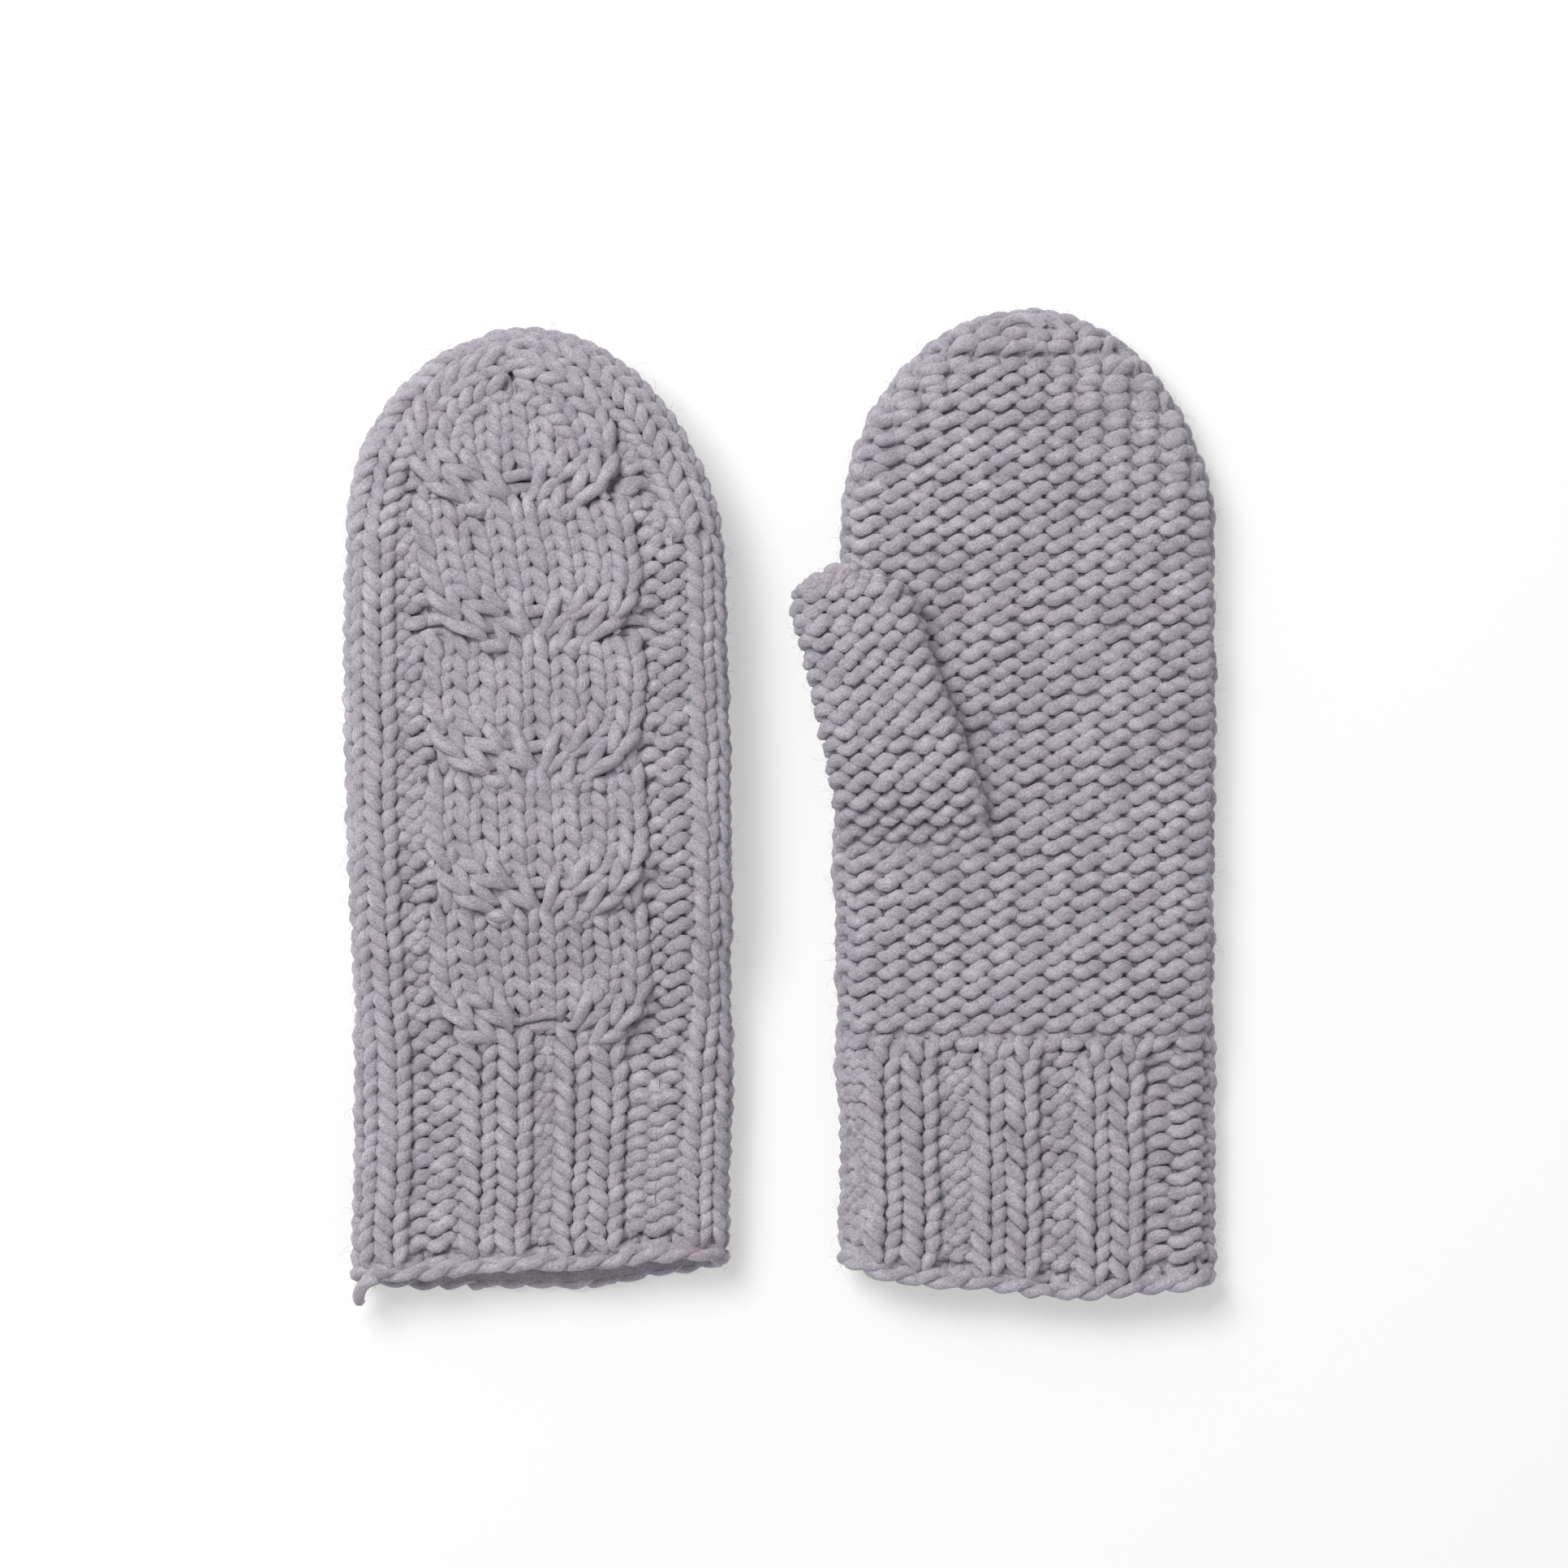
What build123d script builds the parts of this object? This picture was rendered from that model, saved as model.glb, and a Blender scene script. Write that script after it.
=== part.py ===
from build123d import *
import os
from math import cos, radians, sin

# A pair of bulky hand-knitted mittens, lying side by side. Millimetres.
# X runs across the hands, Y from the cuffs to the fingertips, Z up from the surface they lie on.
# The right-hand mitten lies back up on its own thumb; the left-hand one lies palm up, thumb on top.
# The origin is the middle of the pair, at that surface.

# The flattened tube of one mitten
HALF_WIDTH = 51.5
THICK = 20.0
FABRIC = 6.0
BACK_GROUND = 5.0
CABLE_RISE = 3.0
EDGE_WIDTH = 7.0
CROWN_LENGTH = 64.0
CABLE_HALF_WIDTH = 28.0
CABLE_END_HALF_WIDTH = 12.0
CABLE_END_GAP = 14.0
CABLE_TAPER = 16.0

# Places along one mitten, from its cast-on edge
CAST_ON_WIDTH = 5.0
WRIST_Y = 71.0
FOLD_HALF_BAND = 9.0
CLEARANCE = 0.3
GATHER_DEPTH = 4.0
GATHER_RADIUS = 3.0
GATHER_LENGTH = 22.0

# The thumb, in a frame of its own: the left one leans outwards, the right one lies straight
THUMB_BASE_X = -31.0
THUMB_BASE_Y = 131.0
LEFT_THUMB_LEAN = 14.3
RIGHT_THUMB_LEAN = 0.0
THUMB_HALF_WIDTH = 20.0
THUMB_LENGTH = 69.0
THUMB_CROWN = 17.0
THUMB_THICK = 12.0
THUMB_FABRIC = 3.5
THUMB_EDGE_WIDTH = 5.0
THUMB_START = 8.0
HOOD_START = -9.0
HOOD_WALL = 4.0
PALM_GAP = 0.4
SLIT_FROM_Y = 129.4
SLIT_TO_Y = 136.0
SLIT_RIGHT_X = -17.0

# Each mitten's own sizes and place
PAIR_SPACING = 131.8
LEFT_LENGTH = 270.0
RIGHT_LENGTH = 261.0
RIGHT_START = 3.3
LEFT_FINGER_Y = 210.0
RIGHT_FINGER_Y = 205.0
RIGHT_LIFT = THUMB_THICK + PALM_GAP
RIGHT_LIFT_END_Y = 120.0
RIGHT_FINGER_DROOP = 6.0

# The loose end of the right-hand mitten's cast-on yarn
TAIL_RADIUS = 2.1
TAIL_LENGTH = 9.0
TAIL_X = -46.9
TAIL_Y = 2.6

MIDDLE_Y = LEFT_LENGTH / 2
TALL = 200.0


def lift_points(right):
    """The height of the tube's underside along the mitten, as bend points."""
    if not right:
        return [(0.0, 0.0), (LEFT_LENGTH, 0.0)]
    return [(0.0, 0.0), (WRIST_Y, 0.0), (RIGHT_LIFT_END_Y, RIGHT_LIFT), (RIGHT_LENGTH, RIGHT_LIFT)]


def lift_at(y, right):
    points = lift_points(right)
    for (y0, z0), (y1, z1) in zip(points, points[1:]):
        if y <= y1:
            return z0 + (z1 - z0) * (y - y0) / (y1 - y0)
    return points[-1][1]


def lift_path(y0, y1, right):
    bends = [y for y, z in lift_points(right) if y0 < y < y1]
    return [(y, lift_at(y, right)) for y in [y0, *bends, y1]]


def strip(path, low, high, half_width):
    """A slab that follows a path of (y, z) points, from low to high above it."""
    under = [(-half_width, y, z + low) for y, z in path]
    over = [(-half_width, y, z + high) for y, z in reversed(path)]
    side = make_face(Polyline(*under, *over, close=True))
    return extrude(side, amount=2 * half_width, dir=(1, 0, 0))


def outline(half_width, length, crown, inset=0.0):
    """The upright prism of a mitten's or a thumb's outline, closed by half an ellipse."""
    straight = length - crown
    shape = Pos(0, straight / 2 - TALL / 2) * Rectangle(2 * (half_width - inset), straight + TALL)
    shape += Pos(0, straight) * Ellipse(half_width - inset, crown - inset)
    return Pos(0, 0, -TALL / 2) * extrude(shape, amount=TALL)


def rounded(solid, radius):
    """Round the long outer edges, and leave the cut ends and the bends square."""
    square = solid.edges().filter_by(Axis.X) + solid.edges().filter_by(Axis.Z)
    return fillet([edge for edge in solid.edges() if edge not in square], radius)


def hand_prism(length, inset=0.0):
    return outline(HALF_WIDTH, length - GATHER_DEPTH, CROWN_LENGTH - GATHER_DEPTH, inset)


def tube(path, length):
    """The rounded outer shape of one stretch of the mitten."""
    return rounded(strip(path, 0, THICK, HALF_WIDTH) & hand_prism(length), EDGE_WIDTH - 1)


def ring(path, length):
    """One stretch of the tube, hollow and in one piece."""
    hollow = strip(path, FABRIC, THICK - FABRIC, HALF_WIDTH - EDGE_WIDTH)
    return tube(path, length) - (hollow & hand_prism(length, EDGE_WIDTH))


def walls(path, length, right, with_cable):
    """One stretch of the tube as back, palm and rim, with the cable panel laid on the back."""
    core = hand_prism(length, EDGE_WIDTH)
    if not with_cable:
        back = (0, FABRIC)
    else:
        back = (CABLE_RISE, CABLE_RISE + BACK_GROUND)
    palm = (THICK - FABRIC, THICK)
    if right:
        back = (THICK - back[1], THICK - back[0])
        palm = (THICK - palm[1], THICK - palm[0])
    return {
        "back": strip(path, *back, HALF_WIDTH) & core,
        "palm": strip(path, *palm, HALF_WIDTH) & core,
        "rim": tube(path, length) - core,
    }


def cable(path, length, right):
    """The raised cable panel, narrowing towards the fingertips."""
    top = length - CABLE_END_GAP
    shoulder = top - CABLE_TAPER
    corners = [
        (-CABLE_HALF_WIDTH, 0),
        (-CABLE_HALF_WIDTH, shoulder),
        (-CABLE_END_HALF_WIDTH, top),
        (CABLE_END_HALF_WIDTH, top),
        (CABLE_HALF_WIDTH, shoulder),
        (CABLE_HALF_WIDTH, 0),
    ]
    panel = extrude(make_face(Polyline(*corners, close=True)), amount=TALL, both=True)
    layer = (THICK - CABLE_RISE, THICK) if right else (0, CABLE_RISE)
    return strip(path, *layer, HALF_WIDTH) & panel


def half_of(solid, side):
    """The part of a rim on one side of the mitten: -1 is the thumb side, 1 the outer side."""
    return solid & (Pos(side * TALL / 2, 0, 0) * Box(TALL, 4 * TALL, TALL))


def slit():
    width = SLIT_RIGHT_X + HALF_WIDTH
    centre = ((SLIT_RIGHT_X - HALF_WIDTH) / 2, (SLIT_FROM_Y + SLIT_TO_Y) / 2, 0)
    return Pos(*centre) * Box(width, SLIT_TO_Y - SLIT_FROM_Y, TALL)


def thumb_place(z, right):
    lean = RIGHT_THUMB_LEAN if right else LEFT_THUMB_LEAN
    return Pos(THUMB_BASE_X, THUMB_BASE_Y, z) * Rot(0, 0, lean)


def thumb_tube(start, end, low, high):
    path = [(start, 0.0), (end, 0.0)]
    return strip(path, low, high, THUMB_HALF_WIDTH)


def thumb_prism(inset=0.0):
    length = THUMB_LENGTH - GATHER_DEPTH
    return outline(THUMB_HALF_WIDTH, length, THUMB_CROWN - GATHER_DEPTH, inset)


def thumb_base(z, right):
    """The hood over the slit, where the thumb's stitches are picked up from the palm."""
    hood = thumb_tube(HOOD_START, THUMB_START - CLEARANCE, 0, THUMB_THICK + PALM_GAP)
    inside = strip(
        [(HOOD_START + HOOD_WALL, 0.0), (THUMB_START, 0.0)],
        -1,
        THUMB_THICK + PALM_GAP,
        THUMB_HALF_WIDTH - THUMB_EDGE_WIDTH,
    )
    roof = thumb_tube(HOOD_START, THUMB_START, THUMB_THICK + PALM_GAP - THUMB_FABRIC, TALL)
    return thumb_place(z, right) * (hood - (inside - roof))


def gather(tip_y, z, radius, length, crown):
    """The drawn-up yarn that closes a crown, resting against it."""
    roll = Pos(0, tip_y - radius, z) * Rot(0, 90, 0) * Cylinder(radius, length)
    return roll - crown


def thumb_pieces(z, right):
    """The thumb as two faces, a rim around them and the gather at its end."""
    start, end = THUMB_START, THUMB_LENGTH - GATHER_DEPTH
    core = thumb_prism(THUMB_EDGE_WIDTH)
    body = thumb_tube(start, end, 0, THUMB_THICK) & thumb_prism()
    rim = rounded(body, THUMB_EDGE_WIDTH - 1) - core
    lower = thumb_tube(start, end, 0, THUMB_FABRIC) & core
    upper = thumb_tube(start, end, THUMB_THICK - THUMB_FABRIC, THUMB_THICK) & core
    top, under = (lower, upper) if right else (upper, lower)
    close = gather(THUMB_LENGTH, THUMB_THICK / 2, GATHER_RADIUS, GATHER_LENGTH / 2, rim)
    pieces = {"thumb_top": top, "thumb_under": under, "thumb_rim": rim, "thumb_gather": close}
    return {name: thumb_place(z, right) * solid for name, solid in pieces.items()}


def mitten(length, finger_y, right):
    """Every piece of one mitten, with its cast-on edge at Y = 0."""
    wrist_from, wrist_to = WRIST_Y - FOLD_HALF_BAND, WRIST_Y + FOLD_HALF_BAND
    finger_from, finger_to = finger_y - FOLD_HALF_BAND, finger_y + FOLD_HALF_BAND
    top_lift = lift_at(finger_y, right)

    cast_on = lift_path(0.0, CAST_ON_WIDTH, right)
    cuff = lift_path(CAST_ON_WIDTH, wrist_from, right)
    wrist = lift_path(wrist_from + CLEARANCE, wrist_to, right)
    hand = lift_path(wrist_to, finger_from, right)
    band = lift_path(finger_from, finger_to + CLEARANCE, right)
    fingers = lift_path(finger_to, length - GATHER_DEPTH, right)

    cuff_walls = walls(cuff, length, right, False)
    hand_walls = walls(hand, length, right, True)
    finger_walls = walls(fingers, length, right, True)

    pieces = {
        "cast_on_edge": ring(cast_on, length),
        "cuff_back": cuff_walls["back"],
        "cuff_palm": cuff_walls["palm"],
        "cuff_thumb_side": half_of(cuff_walls["rim"], -1),
        "cuff_outer_side": half_of(cuff_walls["rim"], 1),
        "wrist_line": ring(wrist, length),
        "hand_back": hand_walls["back"],
        "hand_cable": cable(hand, length, right),
        "hand_palm": hand_walls["palm"] - slit(),
        "hand_thumb_side": half_of(hand_walls["rim"], -1),
        "hand_outer_side": half_of(hand_walls["rim"], 1),
    }

    crown = finger_walls["rim"]
    fingertip = {
        "finger_back": finger_walls["back"],
        "finger_cable": cable(fingers, length, right),
        "finger_palm": finger_walls["palm"],
        "crown_edge": crown,
        "crown_gather": gather(length, THICK / 2 + top_lift, GATHER_RADIUS, GATHER_LENGTH, crown),
    }
    droop = -RIGHT_FINGER_DROOP if right else 0.0
    fold = Pos(0, finger_y, THICK / 2 + top_lift)
    drooped = fold * Rot(droop, 0, 0)
    beyond = Pos(0, FOLD_HALF_BAND - CLEARANCE + TALL / 2, 0) * Box(TALL, TALL, TALL)
    pieces["finger_line"] = ring(band, length) - drooped * beyond
    for name, solid in fingertip.items():
        pieces[name] = drooped * fold.inverse() * solid

    if right:
        under_palm = Plane.XY.offset(RIGHT_LIFT)
        pieces["thumb_base"] = mirror(thumb_base(RIGHT_LIFT, right), about=under_palm)
        pieces.update(thumb_pieces(0.0, right))
    else:
        pieces["thumb_base"] = thumb_base(THICK, right)
        pieces.update(thumb_pieces(THICK + PALM_GAP, right))
    return pieces


def yarn_tail():
    """The loose end of yarn on the right-hand mitten's thumb-side corner."""
    knot = Pos(TAIL_X, TAIL_Y, THICK + TAIL_RADIUS) * Rot(0, 90, 0) * Cylinder(TAIL_RADIUS, TAIL_LENGTH)
    return knot


def main():
    os.makedirs("parts", exist_ok=True)
    right = mitten(RIGHT_LENGTH, RIGHT_FINGER_Y, True)
    right["yarn_tail"] = yarn_tail()
    left = mitten(LEFT_LENGTH, LEFT_FINGER_Y, False)
    right_place = Pos(-PAIR_SPACING / 2, RIGHT_START - MIDDLE_Y, 0)
    left_place = Pos(PAIR_SPACING / 2, -MIDDLE_Y, 0)
    for hand, place, pieces in (("right", right_place, right), ("left", left_place, left)):
        for name, solid in pieces.items():
            export_step(place * solid, f"parts/{hand}_{name}.step")


main()
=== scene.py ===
import math

import bpy
import numpy as np
from bpy.props import FloatProperty, FloatVectorProperty, IntProperty, PointerProperty
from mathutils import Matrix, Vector


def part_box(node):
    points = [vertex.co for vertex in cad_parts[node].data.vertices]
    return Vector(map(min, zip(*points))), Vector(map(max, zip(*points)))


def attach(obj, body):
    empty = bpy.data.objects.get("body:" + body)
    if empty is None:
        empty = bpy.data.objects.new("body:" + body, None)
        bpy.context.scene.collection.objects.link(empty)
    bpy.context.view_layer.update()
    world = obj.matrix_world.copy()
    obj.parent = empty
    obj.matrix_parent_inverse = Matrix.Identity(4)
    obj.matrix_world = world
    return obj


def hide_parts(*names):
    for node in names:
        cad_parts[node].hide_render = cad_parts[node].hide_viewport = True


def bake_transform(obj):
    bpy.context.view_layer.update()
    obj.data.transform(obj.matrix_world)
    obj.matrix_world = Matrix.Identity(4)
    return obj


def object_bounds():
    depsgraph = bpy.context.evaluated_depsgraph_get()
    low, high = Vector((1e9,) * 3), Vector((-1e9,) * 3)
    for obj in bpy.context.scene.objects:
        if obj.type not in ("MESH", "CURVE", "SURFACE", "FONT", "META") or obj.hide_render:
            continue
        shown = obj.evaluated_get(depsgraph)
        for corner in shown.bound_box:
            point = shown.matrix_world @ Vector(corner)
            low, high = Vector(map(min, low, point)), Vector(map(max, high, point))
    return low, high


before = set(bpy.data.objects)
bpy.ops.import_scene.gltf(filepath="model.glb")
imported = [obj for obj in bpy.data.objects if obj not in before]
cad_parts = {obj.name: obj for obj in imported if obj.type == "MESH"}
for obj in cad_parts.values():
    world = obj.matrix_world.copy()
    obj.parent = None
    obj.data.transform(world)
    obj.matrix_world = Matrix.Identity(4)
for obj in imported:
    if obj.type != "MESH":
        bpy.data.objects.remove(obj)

bl_info = {
    "name": "Cabled mittens",
    "version": (1, 0, 0),
    "blender": (4, 5, 0),
    "location": "View3D > Sidebar > Mittens",
    "description": "Knits a pair of bulky wool mittens around their frame, stitch by stitch",
    "category": "Object",
}

MM = 0.001
CAD_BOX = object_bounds()
SIDES = ("right", "left")
FLOOR_GAP = 0.0004

# The knitting chart of the back, as stitch edges across the flattened back, and of the palm
FACE_HALF = 52.0
CUFF_BACK = (-52, -43.8, -35.6, -28.6, -21.7, -12, -2.6, 0.7, 4, 13.4, 22.7, 31, 39, 45.5, 52)
CUFF_BACK_KINDS = "KKPPKKPPKKPPKK"
CUFF_PALM = (-52, -47.5, -43.8, -34, -24, -19.5, -15, -6, 3.3, 8.3, 13.4, 22.3, 31.2, 41, 52)
CUFF_PALM_KINDS = "PPKKPPKKPPKKPP"
HAND_LEFT = (-52, -44.5, -37, -32.8, -28.5)
HAND_RIGHT = (27.5, 34.2, 41, 46.5, 52)
EDGE_STITCHES = 4
PALM_STITCHES = 14
CENTRE_STITCHES = 6
THUMB_STITCHES = 13
POINTS_PER_STITCH = 4

# Counts of rows; the heights, the unevenness and the narrowest stitch are in millimetres
CUFF_ROWS = 14
HAND_ROWS = 41.5
CAST_ON_HEIGHT = 4.4
CROWN_HEIGHT = 64.0
STITCH_UNEVENNESS = 0.3
NARROWEST_STITCH = 4.8

# The cable: its stitches, the places of its strands, its turns and its arms over the crown
CABLE_STITCH = 7.1
CABLE_INNER = 7.2
CABLE_OUTER = 21.2
CABLE_TURNS = 4
CABLE_FIRST_TURN = 1.5
CABLE_END = 45.0
HIDDEN_STRAND = -0.6
CROWN_ARM_START = 35.0
CROWN_ARM_HEIGHT = 21.0
CROWN_ARM_MIDDLE = -0.5

# The two knit columns along the crown's edge
CROWN_EDGE_WIDTH = 15.0
CROWN_EDGE_TAPER = 4.5

# The thumb's half width and how it narrows and leans, and the length of its round end
THUMB_HALF = 18.3
THUMB_TAPER_LOW = 1.2
THUMB_TAPER_HIGH = 2.2
THUMB_LEAN = 1.5
THUMB_INSET = 2.2
THUMB_CAP = 12.0

# How far stitches stand out or sink in, and where the layers under them lie
RIB_RAISED = 1.3
RIB_SUNK = -1.5
GUTTER_SUNK = -1.5
EDGE_RAISED = 0.5
CABLE_RAISED = 1.1
BACKING = (-0.2, -1.2)
LINING = (-1.7, -2.6)

# The share of the wool's depth below the floor gap that its weight presses away
PRESSED = 0.88

# The floor's height and the soft light's place, in metres
FLOOR_LEVEL = -0.0006
WINDOW_PLACE = (-0.7, 0.75, 1.7)


def smooth(value, low, high):
    """0 below low, 1 above high and an even curve between them."""
    t = np.clip((np.asarray(value, float) - low) / (high - low), 0.0, 1.0)
    return t * t * (3 - 2 * t)


def unit(vectors):
    """Vectors of the same directions, one long."""
    return vectors / np.maximum(np.linalg.norm(vectors, axis=-1, keepdims=True), 1e-9)


def node_box(side, node):
    """The low and high corners of one node of one mitten, in millimetres."""
    low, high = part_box(f"{side}_{node}")
    return np.array(low) / MM, np.array(high) / MM


class Mitten:
    """One mitten's sizes in millimetres, read from the frame, and the surface its fabric lies on."""

    def __init__(self, side, yarn_radius, loop_depth):
        self.side = side
        self.back_up = side == "right"
        cast_low, cast_high = node_box(side, "cast_on_edge")
        tip_low, tip_high = node_box(side, "crown_gather")
        wrist_low, wrist_high = node_box(side, "wrist_line")
        finger_low, finger_high = node_box(side, "finger_line")
        self.x = (cast_low[0] + cast_high[0]) / 2
        self.y = cast_low[1]
        self.length = tip_high[1] - self.y
        self.wrist = (wrist_low[1] + wrist_high[1]) / 2 - self.y
        self.finger = (finger_low[1] + finger_high[1]) / 2 - self.y
        self.layer = yarn_radius + loop_depth
        self.thick = (cast_high[2] - cast_low[2]) / 2 - self.layer
        self.half = (cast_high[0] - cast_low[0]) / 2 - self.layer
        self.centre_z = (cast_low[2] + cast_high[2]) / 2
        self.lift_height = finger_low[2] - cast_low[2]
        self.crown = CROWN_HEIGHT - self.layer
        self.crown_start = self.length - CROWN_HEIGHT
        self.row = (self.length - self.wrist) / HAND_ROWS
        self.cuff_row = (self.wrist - CAST_ON_HEIGHT) / CUFF_ROWS
        self.turn = (self.length - self.wrist - CABLE_END) / CABLE_TURNS
        self.read_thumb()

    def read_thumb(self):
        """The thumb's base, axis, length and thickness, from its nodes."""
        base_low, base_high = node_box(self.side, "thumb_base")
        tip_low, tip_high = node_box(self.side, "thumb_gather")
        top_low, top_high = node_box(self.side, "thumb_top")
        under_low, under_high = node_box(self.side, "thumb_under")
        base = (base_low + base_high) / 2
        tip = (tip_low + tip_high) / 2
        axis = tip[:2] - base[:2]
        self.thumb_axis = axis / np.linalg.norm(axis)
        self.thumb_base = base[:2]
        self.thumb_length = (tip_high[1] - base[1]) / self.thumb_axis[1]
        z_low = min(top_low[2], under_low[2])
        z_high = max(top_high[2], under_high[2])
        self.thumb_z = (z_low + z_high) / 2
        self.thumb_thick = (z_high - z_low) / 2 - self.layer + 0.4

    def row_y(self, row):
        """Where a row's middle lies along the mitten; rows of the cuff are a little taller."""
        row = np.asarray(row, float) + 0.5
        cuff = CAST_ON_HEIGHT + row * self.cuff_row
        return np.where(row < CUFF_ROWS, cuff, self.wrist + (row - CUFF_ROWS) * self.row)

    def row_at(self, y):
        """The row that lies at a height along the mitten; the other way round from row_y."""
        y = np.asarray(y, float)
        cuff = (y - CAST_ON_HEIGHT) / self.cuff_row
        return np.where(y < self.wrist, cuff, CUFF_ROWS + (y - self.wrist) / self.row) - 0.5

    def lift(self, x, y):
        """How far the tube is held up by the thumb under it, and how the fingertips sag."""
        if self.lift_height < 1.0:
            return np.zeros(np.broadcast(x, y).shape)
        risen = self.lift_height * smooth(y, self.wrist - 6, self.wrist + 52)
        sag = 2.5 * smooth(x, -5, 50) * smooth(y, 100, 150)
        droop = 6.0 * np.clip((y - self.finger + 8) / (self.length - self.finger), 0, 2) ** 1.4
        return risen - sag * (1 - smooth(y, self.finger, self.length)) - droop

    def half_width(self, y):
        """Half the mitten's width at a height, round over the crown."""
        y = np.asarray(y, float)
        wide = self.half + 0.9 * smooth(y, 60, 130) - 0.9 * smooth(y, 150, self.crown_start + 20)
        wide = wide - 0.8 * np.exp(-(((y - 30.0) / 26.0) ** 2))
        over = np.clip((y - self.crown_start) / self.crown, 0.0, 1.0)
        return wide * np.sqrt(1 - over**2)

    def outline(self, y):
        """Half the width of the crown's face, whose middle lies on the outline."""
        over = np.clip((np.asarray(y, float) - self.crown_start) / self.crown, 0.0, 0.9999)
        return self.half_width(np.minimum(y, self.crown_start)) * np.sqrt(1 - over**2)

    def half_thick(self, y):
        """Half the mitten's thickness, less where the crown gets narrow."""
        return np.minimum(self.thick, 0.9 * self.half_width(y) + 0.05)

    def quarter(self, y):
        """The distance from the middle of a face round to the edge."""
        thick = self.half_thick(y)
        return self.half_width(y) - thick + math.pi * thick / 2

    def place(self, x, y, z):
        """Local millimetres to the row frame, with the cloth's own unevenness."""
        puff = 0.5 * np.sin(x / 19.0 + 1.1 + self.x) * np.sin(y / 27.0 + 0.6)
        sway = 0.9 * np.sin(y / 47.0 + (0.4 if self.back_up else 2.1)) * smooth(y, 5, 60)
        sway = sway - (3.6 if self.back_up else 1.2) * smooth(y, self.crown_start - 5, self.length - 15)
        out = np.empty(np.broadcast(x, y, z).shape + (3,))
        out[..., 0] = self.x + x + sway
        out[..., 1] = self.y + y
        out[..., 2] = self.centre_z + self.lift(x, y) + z + puff * np.clip(np.abs(z) / self.thick, 0, 1)
        return out

    def mouth(self, x, y, up):
        """The cast-on edge is not straight: how far each layer is drawn up, from -1 below to 1 above."""
        wave = 0.5 * np.sin(x / 7.5 + self.x)
        if self.back_up:
            upper = 6.7 + 0.065 * x
            lower = 1.0 + 0.04 * x + 0.0015 * x**2
        else:
            upper = 3.0 + 0.0019 * (x - 14) ** 2
            lower = upper + 1.5
        share = (up + 1) / 2
        return (lower * (1 - share) + upper * share + wave) * (1 - smooth(y, 0, 56))

    def section(self, around, y):
        """A point and its outward normal: around is 0 at the middle of the back, 1 and 3 at the edges."""
        y = np.asarray(y, float)
        turned = around if self.back_up else around + 2.0
        turned = np.mod(turned + 1.0, 4.0) - 1.0
        lower = turned > 1.0
        thick = self.half_thick(y)
        flat = self.half_width(y) - thick
        across = np.where(lower, 2.0 - turned, turned) * self.quarter(y)
        angle = np.clip((np.abs(across) - flat) / np.maximum(thick, 1e-6), 0, math.pi / 2)
        sign = np.sign(across)
        x = sign * (np.minimum(np.abs(across), flat) + thick * np.sin(angle))
        up = np.where(lower, -1.0, 1.0)
        point = self.place(x, y + self.mouth(x, y, up * np.cos(angle)), up * thick * np.cos(angle))
        normal = np.stack([sign * np.sin(angle), np.zeros_like(x * y), up * np.cos(angle)], -1)
        return point, normal

    def pillow(self, x, y, upper):
        """A point and normal on one face of the crown, rounded down towards the outline."""
        over = np.maximum(y - self.crown_start, 0.0)
        wide = self.half_width(np.minimum(y, self.crown_start))
        reach = np.sqrt((x / wide) ** 2 + (over / self.crown) ** 2)
        slope = np.sqrt((x / wide**2) ** 2 + (over / self.crown**2) ** 2) / np.maximum(reach, 1e-6)
        distance = np.clip((1 - reach) / np.maximum(slope, 1e-6), 0, self.thick)
        share = distance / self.thick
        height = self.thick * np.sqrt(np.clip(1 - (1 - share) ** 2, 0, 1))
        way = unit(np.stack([x / wide**2, over / self.crown**2], -1) + 1e-9)
        up = 1.0 if upper else -1.0
        point = self.place(x, y, up * height)
        tilt = (1 - share)[..., None] * way
        normal = unit(np.concatenate([tilt, (up * height / self.thick)[..., None]], -1))
        return point, normal


class Guide:
    """Rows of stitches on a surface: where each stitch sits, which way is up its column, and its kind."""

    def __init__(self, point, normal, kind, rows, raised=0.0):
        self.point = point + normal * np.broadcast_to(raised, point.shape[:2])[..., None]
        self.normal = normal
        self.kind = np.broadcast_to(kind, point.shape[:2]).astype(float)
        self.rows = np.asarray(rows, float)
        self.phase = np.arange(point.shape[1]) / POINTS_PER_STITCH
        self.across = np.gradient(self.point, 1.0 / POINTS_PER_STITCH, axis=1)
        self.along = np.gradient(self.point, axis=0) if len(self.rows) > 1 else np.zeros_like(point)

    def without(self, hidden):
        """The same guide without its hidden rows; the rows beside them keep the run of the visible ones."""
        for row in np.flatnonzero(~hidden):
            if 0 < row < len(hidden) - 1 and hidden[row + 1]:
                self.along[row] = self.along[row - 1]
            elif 0 < row < len(hidden) - 1 and hidden[row - 1]:
                self.along[row] = self.along[row + 1]
        return self.chosen(~hidden)

    def between(self, low, high):
        """The same guide with only the rows whose number lies in a range."""
        return self.chosen((self.rows >= low) & (self.rows < high))

    def chosen(self, mask):
        """The same guide with only the rows that a mask picks out."""
        part = object.__new__(Guide)
        part.phase = self.phase
        part.rows = self.rows[mask]
        for name in ("point", "normal", "kind", "across", "along"):
            setattr(part, name, getattr(self, name)[mask])
        return part


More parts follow.
